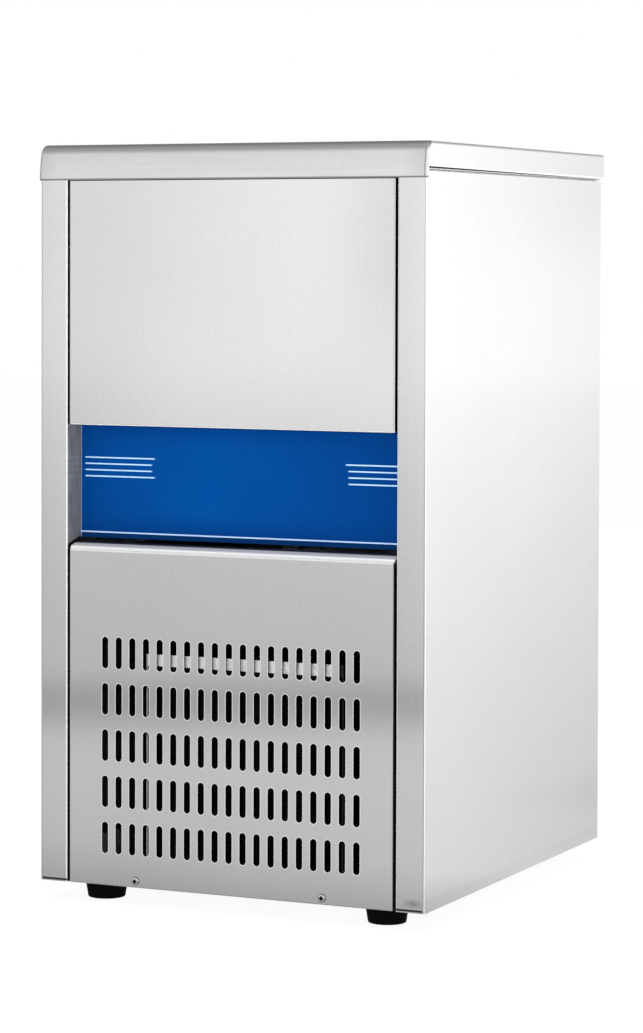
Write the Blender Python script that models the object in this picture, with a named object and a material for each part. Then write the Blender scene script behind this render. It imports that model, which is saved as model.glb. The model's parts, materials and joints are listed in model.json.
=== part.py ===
"""Under-counter ice cube machine: stainless cabinet, drop-front door, slotted grille panel,
an ice bin with a grid evaporator above it and the refrigeration set below it."""

import bpy
import bmesh
from math import cos, hypot, pi, radians, sin, tan
from mathutils import Vector

# Every size below is in millimetres, and build() turns the finished mesh into metres.
MM = 0.001
GAP = 0.3

# Cabinet: x from the centre, y back from the front plane, z up from the floor.
BODY_WIDTH = 390.0
BODY_DEPTH = 443.7
FOOT_HEIGHT = 17.0
PANEL_TOP = 675.0
PARTITION_TOP = 339.0
SHEET = 1.0
SIDE = BODY_WIDTH / 2
INSIDE = SIDE - SHEET - GAP
POST_WIDTH = 28.5
CHEEK = SIDE - POST_WIDTH
FLANGE_FRONT = 26.0
FLANGE_BACK = FLANGE_FRONT + SHEET
FLANGE_WIDTH = 16.5
FLANGE_EDGE = CHEEK - FLANGE_WIDTH
REAR_FLANGE = 15.0
REAR_PANEL = BODY_DEPTH - SHEET - GAP - SHEET
INNER_REAR = REAR_PANEL - GAP
OUTER_REAR = REAR_PANEL + SHEET + GAP
FLOOR_TOP = FOOT_HEIGHT + SHEET
FLOOR_GAP = FLOOR_TOP + GAP
FOOT_X = SIDE - 51.5
FRONT_FOOT_Y = 35.0
REAR_FOOT_Y = INNER_REAR - 38.1

# Cover: a pan whose front lip hangs over the tops of the door and the posts.
LIP_FRONT = -1.8
LIP_BOTTOM = PANEL_TOP - 6.0
LIP_STRAIGHT_TOP = LIP_BOTTOM + 7.0
LIP_SLOPE = 3.8
LIP_HEM = 3.9
SKIRT_BOTTOM = PANEL_TOP + 2.0
COVER_TOP = PANEL_TOP + 27.0
COVER_SIDE = SIDE + GAP + SHEET
COVER_REAR = BODY_DEPTH + 6.3
COVER_ROUND = 8.0
COVER_SHEET_LOW = PANEL_TOP + GAP

# The part's origin is the middle of its footprint on the floor.
FITTING_REACH = 12.3
REAR_REACH = BODY_DEPTH + FITTING_REACH
CENTRE_Y = (LIP_FRONT + REAR_REACH) / 2

# Door: it drops outwards about two pins near its top edge.
FRONT_GAP = 2.0
DOOR_SIDE = CHEEK - FRONT_GAP
DOOR_BOTTOM = 443.0
DOOR_TOP = PANEL_TOP - 5.3
DOOR_DEPTH = 22.0
DOOR_TOP_DEPTH = 14.0
DOOR_PIVOT_Y = 12.0
DOOR_PIVOT_Z = PANEL_TOP - 21.0
DOOR_PIN_RADIUS = 3.0
NOTCH_BOTTOM = PANEL_TOP - 25.7
GASKET_BACK = FLANGE_FRONT - GAP

# Grille panel: rows and columns of upright slots with round ends.
GRILLE_SIDE = CHEEK - FRONT_GAP
GRILLE_BEND_Z = PARTITION_TOP - 8.4
GRILLE_FLANGE_Z = GRILLE_BEND_Z + 3.7
GRILLE_FLANGE_Y = 15.0
GRILLE_BOTTOM = FOOT_HEIGHT + GAP
SLOT_WIDTH = 5.2
SLOT_LENGTH = 28.7
SLOT_PITCH_X = 14.17
SLOT_PITCH_Z = 42.9
SLOT_CENTRE_X = 1.0
SLOT_SIDE_MARGIN = 36.0
SLOT_TOP_ROW = GRILLE_BEND_Z - 97.6
SLOT_LOW_LIMIT = GRILLE_BOTTOM + 42.0
SLOT_COLUMNS = int(2 * (GRILLE_SIDE - SLOT_SIDE_MARGIN) / SLOT_PITCH_X) + 1
SLOT_ROWS = int((SLOT_TOP_ROW - SLOT_LOW_LIMIT) / SLOT_PITCH_Z) + 1
SCREW_X = GRILLE_SIDE - 69.8
SCREW_Z = FOOT_HEIGHT + 6.3

# Recess below the door, and the insulated bin.
LINER_WALL = 2.0
LINER_SIDE = INSIDE - 23.7
LINER_FLOOR = PARTITION_TOP + 21.0
LINER_FRONT = FLANGE_BACK + GAP
LINER_BIN_FRONT = LINER_FRONT + 22.7
LINER_REAR = INNER_REAR - 20.1
LINER_LEDGE = DOOR_BOTTOM + 25.0
LINER_STEP_Z = NOTCH_BOTTOM - 1.3
LINER_STEP_Y = LINER_FRONT + 3.7
LINER_TOP = PANEL_TOP - SHEET - GAP
MOUTH_SIDE = CHEEK - 20.5
MOUTH_BOTTOM = LINER_LEDGE + 6.0
MOUTH_TOP = LINER_STEP_Z - 12.0
FASCIA_FRONT = FLANGE_FRONT - 2.0
FASCIA_BOTTOM = GRILLE_FLANGE_Z + 2.8
FASCIA_TOP = LINER_LEDGE - 13.0
DRAIN_X = 50.0 - LINER_SIDE
DRAIN_Y = LINER_REAR - 36.0
DRAIN_RADIUS = 9.0
DRAIN_Z = PARTITION_TOP - 54.0

# Ice maker above the bin; the grid takes as many pockets as the pump leaves room for.
GRID_PITCH = 25.0
GRID_WALL = 2.0
GRID_COLUMNS = int(2 * (LINER_SIDE - 56.0) / GRID_PITCH)
GRID_ROWS = 5
GRID_FRONT = LINER_REAR - 87.0
GRID_DEPTH = 22.0
GRID_TOP = LINER_TOP - 18.7
GRID_BOTTOM = GRID_TOP - GRID_ROWS * GRID_PITCH - GRID_WALL
GRID_SIDE = (GRID_COLUMNS * GRID_PITCH + GRID_WALL) / 2
COIL_RADIUS = 4.0
COIL_Y = GRID_FRONT + GRID_DEPTH + GAP + COIL_RADIUS
COIL_RUNS = 6
COIL_LOW = GRID_BOTTOM + 9.0
COIL_PITCH = 21.8
COIL_TOP = COIL_LOW + (COIL_RUNS - 1) * COIL_PITCH
COIL_SIDE = GRID_SIDE - 21.5
COIL_END = COIL_Y + 13.7
SUCTION_X = GRID_SIDE - 13.5
LIQUID_X = SUCTION_X - 20.0
HOT_GAS_X = LIQUID_X - 20.0
WATER_X = HOT_GAS_X - 30.0
WATER_Z = GRID_BOTTOM + 2.0
CHASE_LEFT = WATER_X - 16.0
CHASE_RIGHT = SUCTION_X + 16.0
CHASE_Y = LINER_REAR + 10.0
CHASE_TOP = LINER_TOP - 9.7
BRACKET_INNER = GRID_SIDE + GAP
BRACKET_PLATE = 2.0
BRACKET_FRONT = GRID_FRONT - 14.0
CURTAIN_Y = GRID_FRONT - 7.0
CURTAIN_Z = LINER_TOP - 6.7
CURTAIN_PIN = 2.4
DISTRIBUTOR_Y = GRID_FRONT + 11.0
DISTRIBUTOR_Z = LINER_TOP - 12.7
DISTRIBUTOR_RADIUS = 4.5
SUMP_LEFT = -GRID_SIDE - 4.5
SUMP_RIGHT = LINER_SIDE - 4.0
SUMP_FRONT = GRID_FRONT - 4.0
SUMP_TOP = GRID_BOTTOM - 8.0
SUMP_BOTTOM = SUMP_TOP - 40.0
PUMP_X = LINER_SIDE - 34.0
PUMP_Y = DISTRIBUTOR_Y + 20.0

# Refrigeration set in the lower compartment.
SHROUD_LEFT = 51.5 - CHEEK
SHROUD_RIGHT = CHEEK - 78.5
SHROUD_FRONT = 60.0
SHROUD_BACK = SHROUD_FRONT + 71.0
SHROUD_TOP = 226.0
SHROUD_LIP = 11.0
CORE_BACK = SHROUD_BACK - 26.0
CORE_IN = 15.0
CORE_Y = (SHROUD_FRONT + CORE_BACK) / 2 + 1
FIN_PITCH = 6.0
FIN_THICKNESS = 0.8
HOT_IN_Z = SHROUD_TOP - 22.0
COLD_OUT_Z = FLOOR_TOP + 22.0
FAN_X = (SHROUD_LEFT + SHROUD_RIGHT) / 2
FAN_Z = (FLOOR_TOP + SHROUD_TOP) / 2
FAN_MARGIN = 17.5
FAN_OPENING = min(SHROUD_RIGHT - FAN_X, SHROUD_TOP - FAN_Z) - FAN_MARGIN
FAN_RADIUS = FAN_OPENING - 5.0
FAN_FRONT = SHROUD_BACK - 18.0
FAN_DEPTH = 20.0
SHAFT_RADIUS = 3.0
MOTOR_BRACKET_Y = SHROUD_BACK + 19.0
STRAP_SIDE = SHROUD_RIGHT - FAN_X - 3.5
COMPRESSOR_RADIUS = 62.0
COMPRESSOR_X = CHEEK - 68.5
COMPRESSOR_Y = INNER_REAR - 141.1
COMPRESSOR_FOOT_X = 2 * COMPRESSOR_RADIUS + 26.0
COMPRESSOR_FOOT_Y = 100.0
VALVE_X = CHEEK - 16.5
VALVE_Y = COMPRESSOR_Y - COMPRESSOR_RADIUS - 68.0
VALVE_Z = FLOOR_TOP + 102.0
DRIER_X = CHEEK - 1.5
DRIER_Y = VALVE_Y + 35.0
UNDER_PARTITION = PARTITION_TOP - 39.0

# Fittings in the rear panel and the control box in front of them.
VENT_ROWS = 7
VENT_LEFT = COMPRESSOR_X - 88.0
VENT_RIGHT = COMPRESSOR_X + 17.0
INLET_X = -60.0
INLET_Z = PARTITION_TOP - 104.0
INLET_THREAD = 13.0
INLET_DEPTH = 34.0
POWER_X = 45.0 - SIDE
POWER_Z = FLOOR_TOP + 102.0
POWER_WIDTH = 28.0
POWER_HEIGHT = 21.0
SWITCH_Z = POWER_Z + 45.0
SWITCH_WIDTH = 22.0
SWITCH_HEIGHT = 31.0
SWITCH_PIVOT_Y = OUTER_REAR - 2.7
SWITCH_TILT = 10.0
CONTROL_LEFT = 4.0 - INSIDE
CONTROL_RIGHT = POWER_X + 26.0
CONTROL_FRONT = INNER_REAR - 197.1
CONTROL_REAR = INNER_REAR - 47.1
CONTROL_TOP = SWITCH_Z + 35.0

# Colours: base colour, metallic and roughness of each material.
FINISHES = {
    "stainless": ((0.62, 0.62, 0.62), 0.9, 0.38),
    "galvanised": ((0.55, 0.57, 0.58), 0.8, 0.5),
    "blue_plate": ((0.003, 0.075, 0.33), 0.0, 0.35),
    "rubber": ((0.02, 0.02, 0.02), 0.0, 0.7),
    "gasket": ((0.35, 0.35, 0.36), 0.0, 0.6),
    "white_plastic": ((0.8, 0.81, 0.8), 0.0, 0.35),
    "black_plastic": ((0.02, 0.02, 0.022), 0.0, 0.5),
    "foam": ((0.8, 0.7, 0.42), 0.0, 0.9),
    "copper": ((0.72, 0.36, 0.2), 1.0, 0.3),
    "tinned_copper": ((0.7, 0.69, 0.66), 1.0, 0.3),
    "aluminium": ((0.7, 0.71, 0.72), 1.0, 0.4),
    "black_paint": ((0.015, 0.015, 0.016), 0.0, 0.45),
    "screw_steel": ((0.6, 0.6, 0.6), 1.0, 0.3),
    "brass": ((0.7, 0.53, 0.25), 1.0, 0.35),
}


def fillet(points, radii, steps=3, closed=True):
    """Replace the corners of a line by arcs; radii is one number or one for each corner."""
    count = len(points)
    if isinstance(radii, (int, float)):
        radii = [radii] * count
    result = []
    for i, corner in enumerate(points):
        here = Vector(corner)
        if radii[i] <= 0 or (not closed and i in (0, count - 1)):
            result.append(here)
            continue
        back = (Vector(points[i - 1]) - here).normalized()
        ahead = (Vector(points[(i + 1) % count]) - here).normalized()
        angle = back.angle(ahead)
        reach = radii[i] / tan(angle / 2)
        centre = here + (back + ahead).normalized() * radii[i] / sin(angle / 2)
        first = (here + back * reach - centre) / radii[i]
        last = (here + ahead * reach - centre) / radii[i]
        side = (last - first * last.dot(first)).normalized()
        sweep = pi - angle
        for k in range(steps + 1):
            turn = sweep * k / steps
            result.append(centre + (first * cos(turn) + side * sin(turn)) * radii[i])
    return result


def folded(path, thickness=SHEET, bend=1.0, steps=2):
    """Outline of a bent sheet whose metal lies to the right of the path."""
    points = [Vector(p) for p in path]
    inner_radii = []
    outer_radii = []
    shifted = []
    last = len(points) - 1
    for i, point in enumerate(points):
        before = (point - points[i - 1]).normalized() if i > 0 else None
        after = (points[i + 1] - point).normalized() if i < last else None
        one = before or after
        two = after or before
        normal_one = Vector((one.y, -one.x))
        normal_two = Vector((two.y, -two.x))
        shifted.append(point + (normal_one + normal_two) * thickness / (1 + normal_one.dot(normal_two)))
        left_turn = one.x * two.y - one.y * two.x > 0
        wide = bend + thickness if bend else 0
        inner_radii.append(bend if left_turn else wide)
        outer_radii.append(wide if left_turn else bend)
    near = fillet(points, inner_radii, steps, closed=False)
    far = fillet(shifted, outer_radii, steps, closed=False)
    return near + far[::-1]


def place(axis, u, v, w):
    """Put a point of a section (u, v) at distance w along an axis."""
    if axis == "x":
        return (w, u, v)
    if axis == "y":
        return (u, w, v)
    return (u, v, w)


def prism(outline, axis, low, high):
    """Solid of constant section between two planes across an axis."""
    mesh = bmesh.new()
    bottom = [mesh.verts.new(place(axis, u, v, low)) for u, v in outline]
    top = [mesh.verts.new(place(axis, u, v, high)) for u, v in outline]
    mesh.faces.new(bottom)
    mesh.faces.new(top)
    for i in range(len(outline)):
        mesh.faces.new((bottom[i - 1], bottom[i], top[i], top[i - 1]))
    bmesh.ops.recalc_face_normals(mesh, faces=mesh.faces)
    return mesh


def rectangle(u, v, radius=0.0, steps=2):
    """Outline of a rectangle given by its two spans, with rounded corners if asked."""
    corners = [(u[0], v[0]), (u[1], v[0]), (u[1], v[1]), (u[0], v[1])]
    return fillet(corners, radius, steps)


def box(x, y, z):
    """Solid block between three pairs of planes."""
    return prism(rectangle(x, y), "z", z[0], z[1])


def around(centre, size):
    """Span of a given size about a centre."""
    return (centre - size / 2, centre + size / 2)


def bevel(mesh, width, steps, test):
    """Round the edges whose two end points both pass the test."""
    edges = [e for e in mesh.edges if test(e.verts[0].co, e.verts[1].co)]
    bmesh.ops.bevel(mesh, geom=edges, offset=width, offset_type="OFFSET", segments=steps,
                    profile=0.5, affect="EDGES", clamp_overlap=True)
    return mesh


def turned(profile, centre, axis, segments=16):
    """Solid of revolution; the profile is a list of (radius, height along the axis)."""
    mesh = bmesh.new()
    rings = []
    for radius, height in profile:
        ring = []
        for k in range(segments):
            turn = 2 * pi * k / segments
            spot = place(axis, radius * cos(turn), radius * sin(turn), height)
            ring.append(mesh.verts.new(Vector(spot) + Vector(centre)))
        rings.append(ring)
    mesh.faces.new(rings[0])
    mesh.faces.new(rings[-1])
    for lower, upper in zip(rings, rings[1:]):
        for k in range(segments):
            mesh.faces.new((lower[k - 1], lower[k], upper[k], upper[k - 1]))
    bmesh.ops.recalc_face_normals(mesh, faces=mesh.faces)
    return mesh


def rod(radius, centre, axis, low, high, segments=12):
    """Plain round bar along an axis; low and high are measured from the centre."""
    return turned([(radius, low), (radius, high)], centre, axis, segments)


def pipe(route, radius, bend, segments=8, steps=3):
    """Round bar swept along a route whose corners are bent to one radius."""
    points = fillet(route, bend, steps, closed=False)
    mesh = bmesh.new()
    rings = []
    across = None
    for i, point in enumerate(points):
        back = points[max(i - 1, 0)]
        ahead = points[min(i + 1, len(points) - 1)]
        along = (ahead - back).normalized()
        if across is None:
            across = along.orthogonal().normalized()
        across = (across - along * across.dot(along)).normalized()
        other = along.cross(across)
        ring = []
        for k in range(segments):
            turn = 2 * pi * k / segments
            ring.append(mesh.verts.new(point + (across * cos(turn) + other * sin(turn)) * radius))
        rings.append(ring)
    mesh.faces.new(rings[0])
    mesh.faces.new(rings[-1])
    for first, second in zip(rings, rings[1:]):
        for k in range(segments):
            mesh.faces.new((first[k - 1], first[k], second[k], second[k - 1]))
    bmesh.ops.recalc_face_normals(mesh, faces=mesh.faces)
    return mesh


def combine(body, tool, operation):
    """Exact Boolean of two closed meshes; both are used up."""
    things = []
    for mesh in (body, tool):
        data = bpy.data.meshes.new("working")
        mesh.to_mesh(data)
        mesh.free()
        thing = bpy.data.objects.new("working", data)
        bpy.context.scene.collection.objects.link(thing)
        things.append(thing)
    modifier = things[0].modifiers.new("combine", "BOOLEAN")
    modifier.operation = operation
    modifier.solver = "EXACT"
    modifier.object = things[1]
    result = bmesh.new()
    result.from_object(things[0], bpy.context.evaluated_depsgraph_get())
    for thing in things:
        data = thing.data
        bpy.data.objects.remove(thing)
        bpy.data.meshes.remove(data)
    return result


def cut(body, *tools):
    for tool in tools:
        body = combine(body, tool, "DIFFERENCE")
    return body


def join(body, *tools):
    for tool in tools:
        body = combine(body, tool, "UNION")
    return body


def together(*meshes):
    """Gather separate cutters into one mesh."""
    first = meshes[0]
    for other in meshes[1:]:
        data = bpy.data.meshes.new("working")
        other.to_mesh(data)
        other.free()
        first.from_mesh(data)
        bpy.data.meshes.remove(data)
    return first


def build(name, mesh, finish, origin=(0.0, CENTRE_Y, 0.0), smooth=None):
    """Make the node: millimetres become metres and the origin moves to the given point."""
    bmesh.ops.remove_doubles(mesh, verts=mesh.verts, dist=0.002)
    bmesh.ops.dissolve_degenerate(mesh, edges=mesh.edges, dist=0.001)
    for vertex in mesh.verts:
        vertex.co = (vertex.co - Vector(origin)) * MM
    data = bpy.data.meshes.new(name)
    mesh.to_mesh(data)
    mesh.free()
    if smooth:
        data.shade_smooth()
        data.set_sharp_from_angle(angle=radians(smooth))
    material = bpy.data.materials.new(name)
    material.use_nodes = True
    shader = material.node_tree.nodes["Principled BSDF"]
    colour, metallic, roughness = FINISHES[finish]
    shader.inputs["Base Color"].default_value = (*colour, 1.0)
    shader.inputs["Metallic"].default_value = metallic
    shader.inputs["Roughness"].default_value = roughness
    data.materials.append(material)
    node = bpy.data.objects.new(name, data)
    node.location = (Vector(origin) - Vector((0.0, CENTRE_Y, 0.0))) * MM
    bpy.context.scene.collection.objects.link(node)
    return node


for leftover in list(bpy.data.objects):
    bpy.data.objects.remove(leftover)

# Side panels: one folded sheet makes the side, the front post, its cheek and the rear flange.
for name, way in (("side_panel_left", -1), ("side_panel_right", 1)):
    path = [(SIDE - REAR_FLANGE, BODY_DEPTH), (SIDE, BODY_DEPTH), (SIDE, 0.0), (CHEEK, 0.0),
            (CHEEK, FLANGE_FRONT), (FLANGE_EDGE, FLANGE_FRONT)]
    section = [(way * x, y) for x, y in folded(path)]
    panel = prism(section, "z", FOOT_HEIGHT, PANEL_TOP)
    top_flange = box(sorted((way * (SIDE - 16), way * (SIDE - 0.5))), (5.0, BODY_DEPTH - 7),
                     (PANEL_TOP - SHEET, PANEL_TOP))
    notch = box(sorted((way * (FLANGE_EDGE - 1), way * (CHEEK + SHEET))),
                (FLANGE_FRONT - 2.5, FLANGE_BACK + 1), (NOTCH_BOTTOM, PANEL_TOP + 1))
    pin_hole = rod(DOOR_PIN_RADIUS + GAP, (way * CHEEK, DOOR_PIVOT_Y, DOOR_PIVOT_Z), "x", -5, 5)
    panel = cut(join(panel, top_flange), notch, pin_hole)
    build(name, panel, "stainless", smooth=50)
    profile = [(DOOR_PIN_RADIUS, -11.5), (DOOR_PIN_RADIUS, SHEET + GAP), (6.0, SHEET + GAP), (5.0, 3.0)]
    pin = turned([(radius, way * height) for radius, height in profile],
                 (way * CHEEK, DOOR_PIVOT_Y, DOOR_PIVOT_Z), "x", 16)
    build(name.replace("side_panel", "door_pin"), pin, "screw_steel", smooth=40)

# Base tray with upturned edges; its front edge takes the two grille screws.
TRAY_EDGE = FOOT_HEIGHT + 25
TONGUE_SIDE = FLANGE_EDGE - GAP
TONGUE_FRONT = SHEET + GAP
path = [(INSIDE, TRAY_EDGE), (INSIDE, FOOT_HEIGHT), (-INSIDE, FOOT_HEIGHT), (-INSIDE, TRAY_EDGE)]
tray = prism(folded(path), "y", FLANGE_BACK + GAP, INNER_REAR)
path = [(FLANGE_BACK + 2, FOOT_HEIGHT), (TONGUE_FRONT, FOOT_HEIGHT), (TONGUE_FRONT, TRAY_EDGE)]
tongue = prism(folded(path), "x", -TONGUE_SIDE, TONGUE_SIDE)
path = [(INNER_REAR, TRAY_EDGE), (INNER_REAR, FOOT_HEIGHT), (INNER_REAR - 20, FOOT_HEIGHT)]
rear_edge = prism(folded(path), "x", -INSIDE + 6, INSIDE - 6)
stud_holes = together(*[rod(4.3, (x, y, FOOT_HEIGHT), "z", -3, 3)
                        for x in (-FOOT_X, FOOT_X) for y in (FRONT_FOOT_Y, REAR_FOOT_Y)])
screw_holes = together(*[rod(2.3, (x, TONGUE_FRONT, SCREW_Z), "y", -3, 3) for x in (-SCREW_X, SCREW_X)])
tray = cut(join(tray, tongue, rear_edge), stud_holes, screw_holes)
build("base_tray", tray, "galvanised", smooth=50)

# Feet: a tapered rubber body moulded round its stud.
for row, y in (("front", FRONT_FOOT_Y), ("rear", REAR_FOOT_Y)):
    for hand, x in (("left", -FOOT_X), ("right", FOOT_X)):
        foot = turned([(16.0, 0), (17.0, 1.0), (20.5, FOOT_HEIGHT - 2), (20.0, FOOT_HEIGHT - GAP),
                       (4.0, FOOT_HEIGHT - GAP), (4.0, FOOT_HEIGHT + 9)], (x, y, 0), "z", 16)
        build(f"foot_{row}_{hand}", foot, "rubber", origin=(x, y, 0), smooth=35)

# Partition between the bin and the lower compartment, slotted at the rear for the pipes.
path = [(-INSIDE, PARTITION_TOP - 20), (-INSIDE, PARTITION_TOP), (INSIDE, PARTITION_TOP),
        (INSIDE, PARTITION_TOP - 20)]
partition = prism(folded(path), "y", LINER_FRONT + 1, INNER_REAR)
pipe_slot = box((CHASE_LEFT, CHASE_RIGHT), (CHASE_Y - 7, CHASE_Y + 7), (PARTITION_TOP - 9, PARTITION_TOP + 9))
drain_hole = rod(DRAIN_RADIUS + 1, (DRAIN_X, DRAIN_Y, PARTITION_TOP), "z", -9, 9)
partition = cut(partition, together(pipe_slot, drain_hole))
build("partition_plate", partition, "galvanised", smooth=50)

# Rear panel, set between the side panels' rear flanges, with slots and fitting holes.
rear = box((-INSIDE, INSIDE), (REAR_PANEL, REAR_PANEL + SHEET), (FOOT_HEIGHT + GAP, PANEL_TOP - GAP))
vents = []
for column in (VENT_LEFT, VENT_RIGHT):
    for row in range(VENT_ROWS):
        z = 60.0 + 14.0 * row
        span = rectangle(around(column, 80.0), around(z, 6.0), 2.9, 1)
        vents.append(prism(span, "y", REAR_PANEL - 5, REAR_PANEL + 5))
openings = [rod(INLET_THREAD + 1, (INLET_X, REAR_PANEL, INLET_Z), "y", -5, 5, 20),
            rod(DRAIN_RADIUS + 2 * GAP, (DRAIN_X, REAR_PANEL, DRAIN_Z), "y", -5, 5, 16),
            box(around(POWER_X, POWER_WIDTH), (REAR_PANEL - 5, REAR_PANEL + 5), around(POWER_Z, POWER_HEIGHT)),
            box(around(POWER_X, SWITCH_WIDTH), (REAR_PANEL - 5, REAR_PANEL + 5),
                around(SWITCH_Z, SWITCH_HEIGHT))]
rear = cut(rear, together(*vents, *openings))
build("rear_panel", rear, "galvanised")

# Top cover: front lip with short hems round the corners, skirts at the sides and the rear.
lip_top = LIP_FRONT + LIP_SLOPE
outline = [(LIP_FRONT, LIP_BOTTOM), (LIP_FRONT, LIP_STRAIGHT_TOP), (lip_top, COVER_TOP),
           (COVER_REAR, COVER_TOP), (COVER_REAR, SKIRT_BOTTOM), (LIP_HEM, SKIRT_BOTTOM),
           (LIP_HEM, LIP_BOTTOM)]
inner = [(LIP_FRONT + SHEET, LIP_BOTTOM - 9), (LIP_FRONT + SHEET, LIP_STRAIGHT_TOP),
         (lip_top + SHEET, COVER_TOP - SHEET), (COVER_REAR - SHEET, COVER_TOP - SHEET),
         (COVER_REAR - SHEET, LIP_BOTTOM - 9)]
cover = prism(fillet(outline, [0, 9.0, COVER_ROUND, 2.0, 0, 0, 0], 5), "x", -COVER_SIDE, COVER_SIDE)
cover = bevel(cover, 1.6, 2, lambda a, b: abs(a.x - b.x) < 1
              and (max(a.z, b.z) > SKIRT_BOTTOM + 1 or max(a.y, b.y) < 0))
hollow = prism(fillet(inner, [0, 8.0, COVER_ROUND - SHEET, 1.0, 0], 5), "x",
               -COVER_SIDE + SHEET, COVER_SIDE - SHEET)
cover = cut(cover, hollow)
build("top_cover", cover, "stainless", smooth=40)
slab = box((-SIDE + 3, SIDE - 3), (6.0, COVER_REAR - 3), (COVER_SHEET_LOW + SHEET + GAP,
                                                         COVER_TOP - SHEET - GAP))
slab = bevel(slab, 9.0, 2, lambda a, b: a.y < 10 and b.y < 10 and min(a.z, b.z) > COVER_TOP - 5)
build("cover_insulation", slab, "foam")
build("cover_inner_sheet", box((-INSIDE + 3, INSIDE - 3), (3.0, BODY_DEPTH - 4),
                               (COVER_SHEET_LOW, COVER_SHEET_LOW + SHEET)), "galvanised")

# Grille panel: a shallow pan whose top edge leans back into the recess.
outline = [(0.0, GRILLE_BOTTOM), (0.0, GRILLE_BEND_Z), (GRILLE_FLANGE_Y, GRILLE_FLANGE_Z),
           (GRILLE_FLANGE_Y, GRILLE_BOTTOM)]
slope = (GRILLE_FLANGE_Z - GRILLE_BEND_Z) / GRILLE_FLANGE_Y
top_drop = SHEET * hypot(1.0, slope)
inner = [(SHEET, GRILLE_BOTTOM - 9), (SHEET, GRILLE_BEND_Z + slope * SHEET - top_drop),
         (GRILLE_FLANGE_Y + 9, GRILLE_FLANGE_Z + slope * 9 - top_drop),
         (GRILLE_FLANGE_Y + 9, GRILLE_BOTTOM - 9)]
grille = prism(fillet(outline, [0, 5.0, 0, 0], 4), "x", -GRILLE_SIDE, GRILLE_SIDE)
grille = bevel(grille, 1.8, 2, lambda a, b: abs(a.x - b.x) < 1 and max(a.z, b.z) > GRILLE_BOTTOM + 1
               and min(a.y, b.y) < GRILLE_FLANGE_Y - 1)
hollow = prism(fillet(inner, [0, 4.0, 0, 0], 3), "x", -GRILLE_SIDE + SHEET, GRILLE_SIDE - SHEET)
slots = []
for column in range(SLOT_COLUMNS):
    x = SLOT_CENTRE_X + (column - (SLOT_COLUMNS - 1) / 2) * SLOT_PITCH_X
    for row in range(SLOT_ROWS):
        z = SLOT_TOP_ROW - row * SLOT_PITCH_Z
        ends = []
        for k in range(8):
            turn = pi * (k % 4) / 3 + (pi if k > 3 else 0)
            shift = SLOT_LENGTH / 2 - SLOT_WIDTH / 2
            ends.append((x + SLOT_WIDTH / 2 * cos(turn),
                         z + SLOT_WIDTH / 2 * sin(turn) + (shift if k < 4 else -shift)))
        slots.append(prism(ends, "y", -4.0, 5.0))
holes = [rod(2.3, (x, 0, SCREW_Z), "y", -4, 5) for x in (-SCREW_X, SCREW_X)]
grille = cut(grille, hollow, together(*slots, *holes))
build("front_grille", grille, "stainless", smooth=40)
for hand, x in (("left", -SCREW_X), ("right", SCREW_X)):
    screw = turned([(1.6, LIP_FRONT), (3.0, -1.5), (3.7, -0.9), (3.7, -GAP), (2.0, -GAP), (2.0, 9.0)],
                   (x, 0, SCREW_Z), "y", 14)
    build(f"grille_screw_{hand}", screw, "screw_steel", origin=(x, 0, SCREW_Z), smooth=40)

# Recess below the door: the blue plate and the sheet behind it.
build("front_fascia", box((-CHEEK + 1, CHEEK - 1), (FASCIA_FRONT, FLANGE_FRONT - GAP),
                          (FASCIA_BOTTOM, FASCIA_TOP)), "blue_plate")
build("bin_front_sheet", box((-TONGUE_SIDE, TONGUE_SIDE), (FLANGE_FRONT, FLANGE_BACK),
                             (PARTITION_TOP + SHEET, LINER_LEDGE + 2)), "galvanised")
rail_back = LINER_STEP_Y - GAP - SHEET
path = [(FLANGE_FRONT, MOUTH_TOP + 1), (FLANGE_FRONT, NOTCH_BOTTOM), (rail_back, NOTCH_BOTTOM),
        (rail_back, LINER_TOP - 2 * LINER_WALL)]
build("front_top_rail", prism(folded(path, bend=0.8), "x", -TONGUE_SIDE, TONGUE_SIDE), "galvanised",
      smooth=50)

# Bin liner: one moulded tub with a mouth at the front and a flange round the top.
outline = [(LINER_BIN_FRONT, LINER_FLOOR), (LINER_REAR, LINER_FLOOR), (LINER_REAR, LINER_TOP),
           (LINER_STEP_Y, LINER_TOP), (LINER_STEP_Y, LINER_STEP_Z), (LINER_FRONT, LINER_STEP_Z),
           (LINER_FRONT, LINER_LEDGE), (LINER_BIN_FRONT, LINER_LEDGE)]
wall = LINER_WALL
inner = [(LINER_BIN_FRONT + wall, LINER_FLOOR + wall), (LINER_REAR - wall, LINER_FLOOR + wall),
         (LINER_REAR - wall, LINER_TOP + 9), (LINER_STEP_Y + wall, LINER_TOP + 9),
         (LINER_STEP_Y + wall, LINER_STEP_Z - wall), (LINER_FRONT + wall, LINER_STEP_Z - wall),
         (LINER_FRONT + wall, LINER_LEDGE + wall), (LINER_BIN_FRONT + wall, LINER_LEDGE + wall)]
tub = prism(outline, "x", -LINER_SIDE, LINER_SIDE)
flange = box((-INSIDE, INSIDE), (LINER_STEP_Y, INNER_REAR), (LINER_TOP - wall, LINER_TOP))
hollow = prism(inner, "x", -LINER_SIDE + wall, LINER_SIDE - wall)
mouth = prism(rectangle((-MOUTH_SIDE, MOUTH_SIDE), (MOUTH_BOTTOM, MOUTH_TOP), 12.0, 3), "y",
              LINER_FRONT - 5, LINER_FRONT + wall + 5)
pipe_ports = together(*[rod(radius + GAP, (x, LINER_REAR, z), "y", -9, 9, 10) for radius, x, z in (
    (COIL_RADIUS, SUCTION_X, COIL_TOP), (2.0, LIQUID_X, COIL_LOW), (3.0, HOT_GAS_X, COIL_LOW),
    (COIL_RADIUS, WATER_X, WATER_Z))])
drain_port = rod(DRAIN_RADIUS + 2 * GAP, (DRAIN_X, DRAIN_Y, LINER_FLOOR), "z", -9, 9, 16)
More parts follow.
